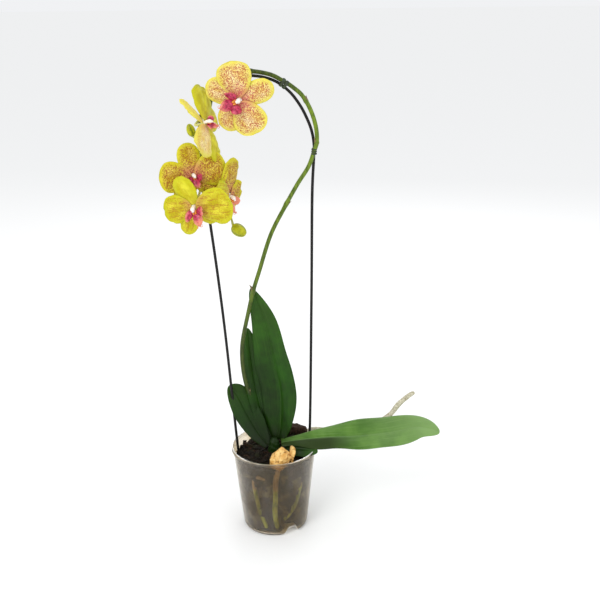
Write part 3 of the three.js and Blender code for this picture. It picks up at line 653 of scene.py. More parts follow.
def vertex_places(mesh):
    """All vertices in millimetres."""
    flat = np.zeros(len(mesh.vertices) * 3, np.float32)
    mesh.vertices.foreach_get("co", flat)
    return flat.reshape(-1, 3) / MM


def move_vertices(mesh, places):
    mesh.vertices.foreach_set("co", (np.asarray(places) * MM).astype(np.float32).ravel())
    mesh.update()


DOME = np.array([0.06, 0.3, 0.55, 0.8, 0.95])  # radii of a rod's domed end, as shares of its own


def rod_mesh(points, radii, finish, sides=16):
    """A rod through points in millimetres; its `along` attribute counts millimetres from the first one."""
    points = np.asarray(points, float)
    base = bpy.data.meshes.new("line")
    base.from_pydata((points * MM).tolist(), [(i, i + 1) for i in range(len(points) - 1)], [])
    layer = base.attributes.new("radius", "FLOAT", "POINT")
    layer.data.foreach_set("value", (np.broadcast_to(radii, len(points)) * MM).astype(np.float32))
    made = grown(ROD, base, Sides=sides, Finish=finish)
    bpy.data.meshes.remove(base)
    set_attribute(made, "along", attribute_values(made, "along_m") / MM)
    return made


def rod_along(line, radius, finish, step=1.5, sides=16):
    """A rod along a spline, domed at both ends. `radius` is in millimetres, or a function of (t, s) with s
    the millimetres from the start."""
    fine_t, fine_s = line.measured(60 * line.spans)
    length = fine_s[-1]
    s = np.linspace(0, length, max(6, int(length / step)))
    radii = radius(s / length, s) if callable(radius) else np.full(len(s), float(radius))
    for _ in range(2):  # one end, then the other
        rise = radii[0] * (1 - np.sqrt(1 - DOME**2))
        keep = s > rise[-1] + 0.25
        s = np.concatenate([rise, s[keep]])
        radii = np.concatenate([DOME * radii[0], radii[keep]])
        s, radii = length - s[::-1], radii[::-1]
    return rod_mesh(line.at(np.interp(s, fine_s, fine_t)), radii, finish, sides)


# ================================================================ pot
POT_SIDES = 168
MERGE_DISTANCE = 0.004  # what the cuts may leave doubled
SHARP_ANGLE = math.radians(38)


def rounded_profile(corners):
    """A profile of (radius, z) corners, each with its own round, as a list of points."""
    points = []
    count = len(corners)
    for i, (r, z, fillet, steps) in enumerate(corners):
        here = np.array([r, z])
        if fillet <= 0 or i in (0, count - 1):
            points.append(here)
            continue
        before = np.array(corners[i - 1][:2])
        after = np.array(corners[i + 1][:2])
        start, end = here + unit(before - here) * fillet, here + unit(after - here) * fillet
        points += bend(start, here, end, steps)
    return np.array(points)


def turned(profile, sides):
    """A closed solid of revolution from a profile that starts and ends on the axis."""
    profile = np.asarray(profile)
    angles = np.linspace(0, 2 * np.pi, sides, endpoint=False)
    vertices = [[0, 0, profile[0][1]]]
    for r, z in profile[1:-1]:
        vertices += np.stack([r * np.cos(angles), r * np.sin(angles), np.full(sides, z)], 1).tolist()
    vertices.append([0, 0, profile[-1][1]])
    return np.array(vertices), ring_faces(len(profile) - 2, sides)


def notch_block(azimuth, grow, rounded):
    """The tapering space of a drainage notch, `grow` mm larger on its sides and inner end."""
    foot, top = NOTCH_FOOT_WIDTH / 2 + grow, NOTCH_TOP_WIDTH / 2 + grow
    high = NOTCH_HEIGHT + grow
    section = [(-foot, -1), (foot, -1), (foot, 0)]
    for side in (1, -1):
        shoulder = (top + (foot - top) * rounded / high, high - rounded)
        curve = bend(shoulder, (top, high), (top - rounded, high), 4)
        section += [(side * x, z) for x, z in curve[::side]]
    section.append((-foot, 0))
    start = POT_BASE_RADIUS - NOTCH_DEPTH - grow
    end = start + NOTCH_DEPTH + grow + 6 * POT_WALL
    turn = math.radians(azimuth)
    cos, sin = math.cos(turn), math.sin(turn)
    vertices = [(x * cos - y * sin, x * sin + y * cos, z) for x in (start, end) for y, z in section]
    n = len(section)
    faces = [tuple(range(n))[::-1], tuple(range(n, 2 * n))]
    faces += [(i, (i + 1) % n, n + (i + 1) % n, n + i) for i in range(n)]
    return np.array(vertices), faces


def solid_object(name, vertices, faces):
    return placed(name, turned_outward(mesh_from(name, vertices, faces)))


def carve(body, operation, tool):
    """One exact boolean between two solids; the tool is used up."""
    step = body.modifiers.new("cut", "BOOLEAN")
    step.operation = operation
    step.solver = "EXACT"
    step.object = tool
    graph = bpy.context.evaluated_depsgraph_get()
    result = bpy.data.meshes.new_from_object(body.evaluated_get(graph), depsgraph=graph)
    body.modifiers.clear()
    body.data = result
    bpy.data.objects.remove(tool)


def in_notch(places, spare):
    """Which places lie in the lined space of a drainage notch, `spare` mm larger all round."""
    inside = np.zeros(len(places), bool)
    for azimuth in NOTCHES:
        turn = math.radians(azimuth)
        deep = places[:, 0] * math.cos(turn) + places[:, 1] * math.sin(turn)
        aside = np.abs(-places[:, 0] * math.sin(turn) + places[:, 1] * math.cos(turn))
        rise = np.clip(places[:, 2] / NOTCH_HEIGHT, 0, 1)
        half = (NOTCH_FOOT_WIDTH + (NOTCH_TOP_WIDTH - NOTCH_FOOT_WIDTH) * rise) / 2
        room = POT_WALL + spare
        inside |= ((deep > POT_BASE_RADIUS - NOTCH_DEPTH - room) & (aside < half + room)
                   & (places[:, 2] < NOTCH_HEIGHT + room))
    return inside


def make_pot():
    lip = POT_HEIGHT - POT_LIP_HEIGHT
    inner_top = pot_inner_radius(POT_HEIGHT)
    outside = [
        (0, 0, 0, 0), (POT_BASE_RADIUS - 1, 0, 2.2, 5), (pot_outer_radius(4), 4, 1.2, 3),
        (pot_outer_radius(30), 30, 0.3, 1), (pot_outer_radius(64), 64, 0.3, 1), (pot_outer_top, lip, 0.7, 4),
        (POT_RIM_RADIUS, lip + 0.2, 0.9, 5), (POT_RIM_RADIUS, POT_HEIGHT, 1.6, 6),
        (inner_top + 1.1, POT_HEIGHT, 1.2, 4), (inner_top, POT_HEIGHT - 2.4, 0.6, 3),
        (pot_inner_radius(64), 64, 0.3, 1), (pot_inner_radius(5), 5, 1.4, 3),
        (POT_BASE_RADIUS - 2.6, POT_WALL, 1.8, 4), (0, POT_WALL, 0, 0),
    ]
    pot = solid_object("pot_form", *turned(rounded_profile(outside), POT_SIDES))
    filled = [
        (0, 0, 0, 0), (POT_BASE_RADIUS - 1.4, 0.2, 2.2, 5), (pot_outer_radius(40) - 0.3, 40, 0, 0),
        (0, 40, 0, 0),
    ]
    for azimuth in NOTCHES:
        lining = solid_object("lining", *notch_block(azimuth, POT_WALL, 1.6))
        carve(lining, "INTERSECT", solid_object("filled", *turned(rounded_profile(filled), POT_SIDES)))
        carve(lining, "DIFFERENCE", solid_object("space", *notch_block(azimuth, 0, 1.0)))
        carve(pot, "DIFFERENCE", solid_object("opening", *notch_block(azimuth, POT_WALL / 2, 1.3)))
        carve(pot, "UNION", lining)
    for i in range(DRAIN_HOLES):
        turn = 2 * math.pi * i / DRAIN_HOLES
        disc = [(0, -2, 0, 0), (DRAIN_RADIUS, -2, 0, 0), (DRAIN_RADIUS, 4, 0, 0), (0, 4, 0, 0)]
        vertices, faces = turned(rounded_profile(disc), 32)
        vertices += (DRAIN_CIRCLE_RADIUS * math.cos(turn), DRAIN_CIRCLE_RADIUS * math.sin(turn), 0)
        carve(pot, "DIFFERENCE", solid_object("hole", vertices, faces))
    mesh = pot.data
    bpy.data.objects.remove(pot)
    work = bmesh.new()
    work.from_mesh(mesh)
    bmesh.ops.remove_doubles(work, verts=work.verts, dist=MERGE_DISTANCE * MM)
    bmesh.ops.dissolve_degenerate(work, edges=work.edges, dist=MERGE_DISTANCE * MM)
    work.to_mesh(mesh)
    work.free()
    mesh.polygons.foreach_set("use_smooth", [True] * len(mesh.polygons))
    mesh.set_sharp_from_angle(angle=SHARP_ANGLE)
    middles = np.empty(len(mesh.polygons) * 3)
    mesh.polygons.foreach_get("center", middles)
    middles = middles.reshape(-1, 3) / MM
    inset = pot_outer_radius(middles[:, 2]) - np.hypot(middles[:, 0], middles[:, 1])
    folded = in_notch(middles, 0.3) & (inset > 0.6)
    mesh.polygons.foreach_set("material_index", folded.astype(int))
    finish_piece("pot_form", mesh, [POT_PLASTIC, RECESS_PLASTIC], "pot_plastic", "pot")


make_pot()


# ================================================================ wire hoop, spike, ties and roots
def make_hoop():
    mesh = rod_along(hoop_line, HOOP_RADIUS, WIRE_FINISH, step=2.2, sides=20)
    finish_piece("hoop_wire_form", mesh, [WIRE_FINISH], "coated_wire",
                 "hoop_wire", "hoop_foot_right", "hoop_foot_left")


# Joints of the spike, counted in its points; each keeps a small sheath and swells a little.
SPIKE_JOINTS = (2.2, 7.0, 10.2, 13.9, 16.6, 20.9)
BRACT_AT = 7
FLOWER_PLACES = (21, 24.5, 25.6, 26.6, 27.4, 29)
SPIKE_STEPS = 40  # lengths measured between two of its points
_, spike_lengths = spike_line.measured(SPIKE_STEPS * spike_line.spans + 1)


def spike_index(s):
    """Counts the spike's points at a distance from its start."""
    return np.interp(s, spike_lengths, np.arange(len(spike_lengths)) / SPIKE_STEPS)


def spike_radius(t, s):
    index = spike_index(s)
    radius = np.interp(index, [0, 6, 21, 27, 29], [2.9, 2.75, 2.7, 2.1, 1.6])
    for joint in SPIKE_JOINTS:
        radius += 0.55 * np.exp(-((index - joint) / 0.1) ** 2)
    for flower_place in FLOWER_PLACES:
        radius += 0.4 * np.exp(-((index - flower_place) / 0.12) ** 2)
    return np.minimum(radius, SPIKE_RADIUS + 0.55)


def sheath_cone(index, side, length, spread):
    """A small pointed sheath that clasps the spike at a joint and stands off at its tip."""
    centre = spike_at(index)
    axis = spike_line.tangent(index / spike_line.spans)
    out = unit(np.array(side) - axis * np.dot(side, axis))
    across = np.cross(axis, out)
    rows, columns = 9, 11
    shells = []
    for skin in (0.0, 0.3):
        grid = []
        for i in range(rows):
            v = i / (rows - 1)
            half_wrap = math.radians(150) * (1 - v**1.4) + 0.05
            for j in range(columns):
                a = half_wrap * (2 * j / (columns - 1) - 1)
                reach = SPIKE_RADIUS + 0.15 + skin + spread * v**1.8
                grid.append(centre + axis * (length * v - 0.8) + out * math.cos(a) * reach
                            + across * math.sin(a) * (SPIKE_RADIUS + 0.15 + skin) * (1 - 0.55 * v))
        shells.append(np.array(grid))
    inner, outer = shells
    n = rows * columns
    faces = []
    for i in range(rows - 1):
        for j in range(columns - 1):
            a, b = i * columns + j, (i + 1) * columns + j
            faces.append((a, b, b + 1, a + 1))
            faces.append((n + a, n + a + 1, n + b + 1, n + b))
    border = ([j for j in range(columns)] + [i * columns + columns - 1 for i in range(1, rows)]
              + [(rows - 1) * columns + j for j in range(columns - 2, -1, -1)]
              + [i * columns for i in range(rows - 2, 0, -1)])
    for a, b in zip(border, border[1:] + border[:1]):
        faces.append((a, b, n + b, n + a))
    return np.vstack([inner, outer]), faces


def make_spike():
    mesh = rod_along(spike_line, spike_radius, SPIKE_FINISH, step=1.2, sides=16)
    # How far the skin darkens to olive-brown at these points of the spike.
    old = ([0, 5, 9, 13, 16, 18.5, 21, 24, 29], [1, 0.8, 0.3, 0.1, 0.1, 0.6, 0.9, 0.6, 0.2])
    set_attribute(mesh, "old", np.interp(spike_index(attribute_values(mesh, "along")), *old))
    finish_piece("flower_spike_form", mesh, [SPIKE_FINISH], "spike", "flower_spike")
    sheaths = Pile()
    for number, joint in enumerate(SPIKE_JOINTS):
        main = joint == BRACT_AT
        side = (-1, -0.2, 0.1) if number % 2 else (1, -0.3, 0.1)
        length, spread = (9.0, 4.5) if main else (6.5, 1.0)
        sheaths.add(*sheath_cone(joint, (-1, -0.1, 0) if main else side, length, spread))
    finish_piece("spike_bract_form", sheaths, [SHEATH_FINISH], "dry_sheath", "spike_bract")


def tie_loop(hoop_place, spike_place, shift, band_width, phase):
    """One turn of tie round the wire and the spike."""
    t = hoop_place / hoop_line.spans
    axis = hoop_line.tangent(t)
    wire = hoop_line.at(t) + axis * shift
    stem = spike_at(spike_place)
    stem = stem - axis * np.dot(stem - wire, axis)
    bridge = stem - wire
    gap = np.linalg.norm(bridge)
    out = bridge / gap
    across = np.cross(axis, out)
    wire_reach, stem_reach = HOOP_RADIUS + 0.5, SPIKE_RADIUS + 0.35
    tilt = math.asin((stem_reach - wire_reach) / gap)
    loop = []
    half = math.pi / 2 + tilt
    for middle, reach, start, end, steps in (
        (wire, wire_reach, half, 2 * math.pi - half, 14), (stem, stem_reach, -half, half, 18),
    ):
        for a in np.linspace(start, end, steps):
            normal = out * math.cos(a) + across * math.sin(a)
            loop.append((middle + reach * normal, normal))
    section = [(-0.5, -0.35), (-0.4, 0.35), (-0.2, 0.5), (0.2, 0.5), (0.4, 0.35), (0.5, -0.35)]
    vertices, m = [], len(section)
    for number, (place, normal) in enumerate(loop):
        wave = 0.25 * math.sin(2 * math.pi * number / len(loop) + phase)
        for x, y in section:
            vertices.append(place + axis * (x * band_width + wave) + normal * (y * 0.9))
    faces = []
    for i in range(len(loop)):
        k = (i + 1) % len(loop)
        faces += [(i * m + j, i * m + (j + 1) % m, k * m + (j + 1) % m, k * m + j) for j in range(m)]
    return np.array(vertices), faces


def make_ties():
    for name, hoop_place, spike_place, bands, width, pitch in (
        ("tie_side", SIDE_TIE, RIDE_START + 1, 3, 1.9, 2.6),
        ("tie_top", TOP_TIE, RIDE_START + 7, 2, 4.2, 5.0),
    ):
        loops = Pile()
        for band in range(bands):
            shift = (band - (bands - 1) / 2) * pitch
            loops.add(*tie_loop(hoop_place, spike_place, shift, width, 1.7 * band))
        finish_piece(name + "_wrap", loops, [TIE_FINISH], "tie", name)


make_hoop()
make_spike()
make_ties()

# Azimuth in degrees, height, and what the root draws back from the wall.
WALL_ROOTS = {
    "root_front": [(-83, 106, 2), (-86, 96), (-87.5, 83), (-88, 60), (-89, 34), (-85, 10)],
    "root_front_right": [(-28, 89, 10), (-36, 74, 4), (-46, 52, 1), (-57, 36, 1), (-72, 22, 1)],
    "root_front_left": [(-130, 93, 8), (-126, 76, 2), (-123, 52, 2.5), (-116, 28, 2), (-106, 9, 1)],
    "root_back": [(100, 95, 8), (94, 80), (84, 50), (96, 18)],
    "root_back_left": [(168, 91, 8), (160, 72), (148, 44), (136, 14)],
}


def root_point(azimuth, z, inset=0):
    reach = pot_inner_radius(z) - GAP - 0.2 - ROOT_RADIUS - inset
    a = math.radians(azimuth)
    return (reach * math.cos(a), reach * math.sin(a), z)


def make_roots():
    lines = {}
    for number, (name, path) in enumerate(WALL_ROOTS.items()):
        line = lines[name] = Spline([root_point(*place) for place in path])
        full = ROOT_RADIUS * (1.0 if number else 1.2) - 0.25
        thick = lambda t, s: full + 0.2 * np.sin(s / 9 + number) - 0.5 * t**3
        mesh = rod_along(line, thick, ROOT_FINISH, step=2, sides=18)
        height = vertex_places(mesh)[:, 2]
        set_attribute(mesh, "dry", smoothstep(62, 82, height) * 0.7 + (0.2 if number else 0.0))
        finish_piece(name + "_form", mesh, [ROOT_FINISH], "green_root", name)
    stub = Spline([root_point(azimuth, z) for azimuth, z in ((-119, 92.5), (-112, 94), (-103, 91))])
    mesh = rod_along(stub, lambda t, s: 2.6 + 0.5 * np.sin(s / 3), ROOT_FINISH, step=1, sides=16)
    set_attribute(mesh, "dry", np.ones(len(mesh.vertices)))
    finish_piece("root_front_left_stub", mesh, [ROOT_FINISH], "green_root", "root_front_left")
    line = Spline([bark(*p) for p in (
        (14, 14, -4), (35, 27, 3), (53, 36, 13), (85, 42, 9), (135, 42, 15), (164, 37, 33), (179, 37, 52),
        (193, 37, 65), (201, 37, 70))])
    thick = lambda t, s: 3.5 + 0.22 * np.sin(s / 13) + 0.12 * np.sin(s / 4.1) - 0.5 * smoothstep(0.93, 1, t)
    mesh = rod_along(line, thick, SILVER_ROOT_FINISH, step=1.6, sides=20)
    finish_piece("aerial_root_form", mesh, [SILVER_ROOT_FINISH], "silver_root", "aerial_root")
    return lines


root_lines = make_roots()


# ================================================================ bark
def near_roots(places):
    """Distance in millimetres from each place to the nearest root line in the pot."""
    nearest = np.full(len(places), 1e3)
    for line in root_lines.values():
        trail = line.at(np.linspace(0, 1, 60))
        for start in range(0, len(places), 4000):
            part = places[start:start + 4000]
            gaps = np.linalg.norm(part[:, None] - trail[None], axis=2).min(axis=1)
            nearest[start:start + 4000] = np.minimum(nearest[start:start + 4000], gaps)
    return nearest


def bark_top(x, y):
    behind = np.clip((x + y) / (math.sqrt(2) * pot_inner_radius(BARK_Z)), -0.35, 1)
    waves = 1.2 * np.sin(x * 0.31) * np.cos(y * 0.27)
    return BARK_Z + BARK_MOUND * behind + BARK_BACK_MOUND * smoothstep(0.1, 0.7, behind) + waves


def noise_at(places, size, seed=0):
    return np.array([noise.noise(Vector(p) / size + Vector((seed * 7.1, seed * 3.3, 0))) for p in places])


def bark_core():
    """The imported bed: a rough closed body that stays clear of the wall, the roots and the notches."""
    sides = 132
    wall = lambda z: pot_inner_radius(z) - 1.9
    heights = np.linspace(5, BARK_Z - 5, 46)
    profile = [(0, 3.2), (20, 3.2), (POT_BASE_RADIUS - 7, 3.2)] + [(wall(z), z) for z in heights]
    rim = wall(BARK_Z - 3)
    shares = (0.985, 0.95, 0.9, 0.82, 0.74, 0.66, 0.58, 0.5, 0.4, 0.3, 0.2, 0.1)
    profile += [(rim * share, BARK_Z - 1.5) for share in shares]
    profile.append((0, BARK_Z - 1.5))
    vertices, faces = turned(profile, sides)
    radius = np.hypot(vertices[:, 0], vertices[:, 1])
    top = vertices[:, 2] > BARK_Z - 2
    settled = bark_top(vertices[:, 0], vertices[:, 1]) - 2.2 - 3.5 * smoothstep(0.86, 1.0, radius / rim)
    vertices[top, 2] = settled[top]
    rough = noise_at(vertices, 7) + 0.5 * noise_at(vertices, 3, 4)
    pull = 1.2 + 1.3 * rough + np.clip(8.2 - near_roots(vertices), 0, 9) * 1.25
    side = (~top) & (radius > 30) & (vertices[:, 2] > 4)
    scale = np.ones(len(vertices))
    scale[side] = (radius[side] - pull[side]) / radius[side]
    vertices[:, :2] *= scale[:, None]
    vertices[top, 2] += 1.2 * rough[top]
    hollow = in_notch(vertices, 1.2)
    limit = POT_BASE_RADIUS - NOTCH_DEPTH - POT_WALL - 3.5
    radius = np.hypot(vertices[:, 0], vertices[:, 1])
    shrink = np.where(hollow, np.minimum(1, limit / np.maximum(radius, 1)), 1)
    vertices[:, :2] *= shrink[:, None]
    crowd = np.ones(len(vertices))
    crowd[vertices[:, 2] < 5] = 0
    crowd[near_roots(vertices) < 8.5] = 0
    crowd[in_notch(vertices, 6)] = 0
    mesh = mesh_from("potting_bark_form", vertices, faces,
                     attributes={"shade": np.full(len(vertices), 0.15), "crowd": crowd})
    return turned_outward(mesh)


CHIP_FORMS = 4


def chip_tree():
    """Scatters broken chips over a surface: how close, how large, which seed and which finish."""
    tree, given = new_tree(
        "Scattered bark chips", Spacing=("Float", 0.005), Smallest=("Vector", (0.003, 0.002, 0.001)),
        Largest=("Vector", (0.006, 0.004, 0.002)), Tilt=("Float", 0.5), Seed=("Int", 1))
    crowd = add(tree, "GeometryNodeInputNamedAttribute", {"Name": "crowd"}, data_type="FLOAT")
    points = add(tree, "GeometryNodeDistributePointsOnFaces", {
        "Mesh": given["Geometry"], "Distance Min": given["Spacing"], "Density Max": 90000.0,
        "Density Factor": crowd, "Seed": given["Seed"]}, None, distribute_method="POISSON").outputs
    variants = add(tree, "GeometryNodeJoinGeometry", gives=None)
    for number in range(CHIP_FORMS):
        block = add(tree, "GeometryNodeMeshCube", {
            "Size": (2, 2, 2), "Vertices X": 4, "Vertices Y": 3, "Vertices Z": 2})
        place = add(tree, "GeometryNodeInputPosition")
        far = add(tree, "ShaderNodeVectorMath", {
            0: place, 1: (7.0 * number, 3.0, 1.7 * number)}, operation="ADD")
        wild = add(tree, "ShaderNodeTexNoise", {"Vector": far, "Scale": 0.9, "Detail": 1.0}, "Color")
        centred = add(tree, "ShaderNodeVectorMath", {0: wild, 1: (0.5, 0.5, 0.5)}, operation="SUBTRACT")
        moved = add(tree, "ShaderNodeVectorMath", {0: centred, "Scale": 2.1}, operation="SCALE")
        jagged = add(tree, "GeometryNodeSetPosition", {"Geometry": block, "Offset": moved})
        tree.links.new(add(tree, "GeometryNodeGeometryToInstance", {"Geometry": jagged}), variants.inputs[0])
    size = add(tree, "FunctionNodeRandomValue", {
        0: given["Smallest"], 1: given["Largest"], "Seed": 5}, data_type="FLOAT_VECTOR")
    pick = add(tree, "FunctionNodeRandomValue", {4: 0, 5: CHIP_FORMS - 1, "Seed": 9}, 2, data_type="INT")
    chips = add(tree, "GeometryNodeInstanceOnPoints", {
        "Points": points["Points"], "Instance": variants.outputs[0], "Pick Instance": True,
        "Instance Index": pick, "Rotation": points["Rotation"], "Scale": size})
    less = add(tree, "ShaderNodeMath", {0: given["Tilt"], 1: -1.0}, operation="MULTIPLY")
    low, high = (add(tree, "ShaderNodeCombineXYZ", {0: tilt, 1: tilt, 2: spin})
                 for tilt, spin in ((less, -3.14), (given["Tilt"], 3.14)))
    turn = add(tree, "FunctionNodeRandomValue", {0: low, 1: high, "Seed": 21}, data_type="FLOAT_VECTOR")
    chips = add(tree, "GeometryNodeRotateInstances", {"Instances": chips, "Rotation": turn})
    shade = add(tree, "FunctionNodeRandomValue", {2: 0.0, 3: 1.0, "Seed": 33}, 1, data_type="FLOAT")
    chips = add(tree, "GeometryNodeStoreNamedAttribute", {"Geometry": chips, "Name": "shade", "Value": shade},
                data_type="FLOAT", domain="INSTANCE")
    return end_tree(tree, chips, given["Finish"])


def inside_wall(places, spare=0.3, softness=0.7):
    """Presses places against the inside of the pot's wall without ever meeting it."""
    radius = np.maximum(np.hypot(places[:, 0], places[:, 1]), 0.01)
    limit = pot_inner_radius(np.clip(places[:, 2], 4, POT_HEIGHT)) - spare
    pressed = limit - softness * np.logaddexp(0, (limit - radius) / softness)
    wanted = np.where(radius > limit - 4, pressed, radius)
    out = places.copy()
    out[:, :2] *= (wanted / radius)[:, None]
    return out


def without_islands(mesh, keep_place):
    """Drops each loose chip whose middle fails the test."""
    work = bmesh.new()
    work.from_mesh(mesh)
    seen, doomed = set(), []
    for start in work.verts:
        if start in seen:
            continue
        island, stack = [], [start]
        seen.add(start)
        while stack:
            vertex = stack.pop()
            island.append(vertex)
            for edge in vertex.link_edges:
                other = edge.other_vert(vertex)
                if other not in seen:
                    seen.add(other)
                    stack.append(other)
        middle = sum((v.co for v in island), Vector()) / len(island)
        if not keep_place(np.array(middle) / MM):
            doomed += island
    bmesh.ops.delete(work, geom=doomed, context="VERTS")
    work.to_mesh(mesh)
    work.free()
    return mesh


def broken_lump(name, centre, radii, seed, roughness, cuts, turn, detail, depths=(0.62, 0.9), taper=0.0):
    """A broken chip: a rounded block with flat split faces and a rough skin."""
    work = bmesh.new()
    bmesh.ops.create_icosphere(work, subdivisions=detail, radius=1.0)
    mesh = bpy.data.meshes.new(name)
    work.to_mesh(mesh)
    work.free()
    rng = np.random.default_rng(seed)
    p = vertex_places(mesh) * MM
    square = 3.2  # 2 is a ball, more is a block
    p /= (np.abs(p) ** square).sum(axis=1, keepdims=True) ** (1 / square)
    for _ in range(cuts):
        normal = unit(rng.normal(size=3))
        over = np.clip(p @ normal - rng.uniform(*depths), 0, None)
        p -= over[:, None] * normal * 0.97
    p *= (1 + roughness * (noise_at(p, 0.5, seed) + 0.6 * noise_at(p, 0.2, seed + 1)))[:, None]
    p[:, 0] *= 1 - taper * np.clip(-p[:, 2], 0, 1)
    move_vertices(mesh, (p * radii) @ np.array(Euler(turn).to_matrix()).T + centre)
    mesh.polygons.foreach_set("use_smooth", [True] * len(mesh.polygons))
    return mesh


def make_bark():
    core = bark_core()
    chips = grown(chip_tree(), core, Spacing=4.3 * MM, Smallest=(2.6 * MM, 1.8 * MM, 0.9 * MM),
                  Largest=(6.6 * MM, 4.2 * MM, 2.2 * MM), Tilt=0.45, Seed=4, Finish=BARK_FINISH)
    dry_stub, chunk_foot = root_point(-112, 93), (10, -54, BARK_Z - 7)
    clear = lambda p: (not in_notch(p[None], 3.5)[0] and near_roots(p[None])[0] > 6.0
                       and np.linalg.norm(p - dry_stub) > 9 and np.linalg.norm(p - chunk_foot) > 11)
    chips = without_islands(chips, clear)
    pressed = inside_wall(vertex_places(chips))
    pressed[:, 2] = np.maximum(pressed[:, 2], POT_WALL + 0.4)
    move_vertices(chips, pressed)
    finish_piece("potting_bark_form", core, [BARK_FINISH], "bark", "potting_bark")
    finish_piece("potting_bark_chips", turned_outward(chips), [BARK_FINISH], "bark", "potting_bark")
    back = broken_lump("bark_chip_back_form", bark(33, 33, 9), (19, 12, 13), seed=5, roughness=0.16, cuts=14,
                       turn=(-0.3, 0.3, 0.4), detail=5)
    move_vertices(back, inside_wall(vertex_places(back), 1.0))
    set_attribute(back, "shade", np.full(len(back.vertices), 0.95))
    finish_piece("bark_chip_back_form", back, [BARK_FINISH], "bark", "bark_chip_back")
    chunk = broken_lump("pale_bark_chunk_form", bark(8.0, -44, 8), (20.5, 14, 27), seed=11, roughness=0.07,
                        cuts=26, turn=(0, 0.3, 0.2), detail=6, depths=(0.52, 0.8), taper=0.6)
    move_vertices(chunk, inside_wall(vertex_places(chunk), 0.5))
    chunk.set_sharp_from_angle(angle=math.radians(24))
    finish_piece("pale_bark_chunk_form", chunk, [PALE_BARK_FINISH], "pale_bark", "pale_bark_chunk")
    flake = broken_lump("pale_bark_flake", bark(24.5, -37.5, 13), (3.2, 8, 13), seed=8, roughness=0.1, cuts=8,
                        turn=(0.35, 0.16, 0.3), detail=4)
    finish_piece("pale_bark_flake", flake, [PALE_BARK_FINISH], "pale_bark", "pale_bark_chunk")


make_bark()


# ================================================================ blades: leaves, petals and lips
def spaced(count, ease=0.35):
    """0..1 with closer steps near both ends."""
    x = np.linspace(0, 1, count)
    return (1 - ease) * x + ease * (1 - np.cos(np.pi * x)) / 2


def blade(place, rows, columns, facts=None, ease=0.5):
    """A closed thin blade. place(u, v, side) gives points across (-1..1) and along (0..1) for the face
    (side 1) and the back (side -1); both meet at the border and at one tip. Gives vertices, faces,
    the faces' materials (0 face, 1 back) and facts(u, v) for every vertex."""
    u = np.linspace(-1, 1, columns)
    u = np.sign(u) * (1 - (1 - np.abs(u)) ** 1.25)
    v = spaced(rows, ease)
    grid_u, grid_v = np.meshgrid(u, v[:-1])
    flat_u, flat_v = grid_u.ravel(), grid_v.ravel()
    inside = ((np.abs(flat_u) < 1) & (flat_v > 0))
    front, back = place(flat_u, flat_v, 1), place(flat_u, flat_v, -1)
    front[~inside] = (front[~inside] + back[~inside]) / 2
    tip = (place(np.zeros(1), np.ones(1), 1) + place(np.zeros(1), np.ones(1), -1)) / 2
    count = len(flat_u)
    back_index = np.arange(count)
    back_index[inside] = count + 1 + np.arange(inside.sum())
    vertices = np.vstack([front, tip, back[inside]])
    all_u = np.concatenate([flat_u, [0], flat_u[inside]])
    all_v = np.concatenate([flat_v, [1], flat_v[inside]])
    faces, sides = [], []
    for i in range(rows - 2):
        for j in range(columns - 1):
            a, b = i * columns + j, (i + 1) * columns + j
            faces.append((a, a + 1, b + 1, b))
            sides.append(0)
            faces.append(tuple(back_index[[a, b, b + 1, a + 1]]))
            sides.append(1)
    last = (rows - 2) * columns
    for j in range(columns - 1):
        faces.append((last + j, last + j + 1, count))
        sides.append(0)
        faces.append((back_index[last + j + 1], back_index[last + j], count))
        sides.append(1)
    return vertices, faces, sides, (facts(all_u, all_v) if facts else {})


# Midribs, greatest half-widths, where they are fullest, the way the upper side looks at base and tip, how far
# the edges rise (fold), how quickly the leaf widens (waist), how blunt the tip is, waviness of the edge, how
# wide its base is (foot), how far up and how strongly the base is darkened with painted shade, which half
# gets painted shade up to where, and how far one side swells near the base (belly).
LEAVES = {
    "leaf_tall": dict(
        midrib=[(6, 7, 13), (9.5, 11, 38), (9.5, 14, 85), (0, 14, 135), (-10, 10, 190), (-27, 4, 240)],
        half=26, fullest=0.42, looks=((-0.5, -1, 0.1), (-0.1, -1, 0.25)), fold=0.3, tip=0.6, wave=1.4,
        foot=0.36, dusk=(0.3, 0.9), painted_shade_half=(-0.5, 0.55)),
    "leaf_narrow": dict(
        midrib=[(-3, 9, 13), (-15, 16, 42), (-25, 21, 85), (-31, 21, 135), (-34, 17, 178)],
        half=15, fullest=0.5, looks=((0.5, -1, 0), (0.35, -1, 0)), fold=0.4, tip=0.55, wave=0.8,
        foot=0.6, dusk=(0.9, 0.8)),
    "leaf_left": dict(
        midrib=[(-9, -3, 8), (-22, 2, 26), (-37, 8, 52), (-50, 13, 78), (-62, 16, 93)],
        half=19, fullest=0.55, looks=((0.45, -1, 0.5), (0.3, -1, 0.6)), fold=0.25, wave=0.8,
        foot=0.34, dusk=(1.3, 0.95)),
    "leaf_right": dict(
        midrib=[(10, -4, 13), (38, -4, 18), (73, -1, 20), (115, 2, 20), (160, 5, 23), (203, 10, 28),
                (234, 4, 23)],
        half=28, fullest=0.6, looks=((-0.1, -0.5, 1), (0.1, -0.4, 1)), fold=0.1, waist=2.5, tip=0.52,
        wave=1.6, light=True, dusk=(0.3, 0.6), painted_shade_half=(0.95, 0.42), belly=0.6),
    "leaf_right_low": dict(
        midrib=[(10, -8, 0), (26, -13, 7), (44, -19, 9), (61, -22, 8)],
        half=14, fullest=0.45, looks=((0, -0.5, 1), (0, -0.5, 1)), fold=0.2, wave=0.6, dusk=(1.4, 0.95)),
}
LEAF_THICKNESS = 2.2
LEAF_EDGE_THICKNESS = 0.5
LEAF_BASE_SHARE = 0.24
LEAF_GRID = (84, 37)  # rows along a blade and columns across it


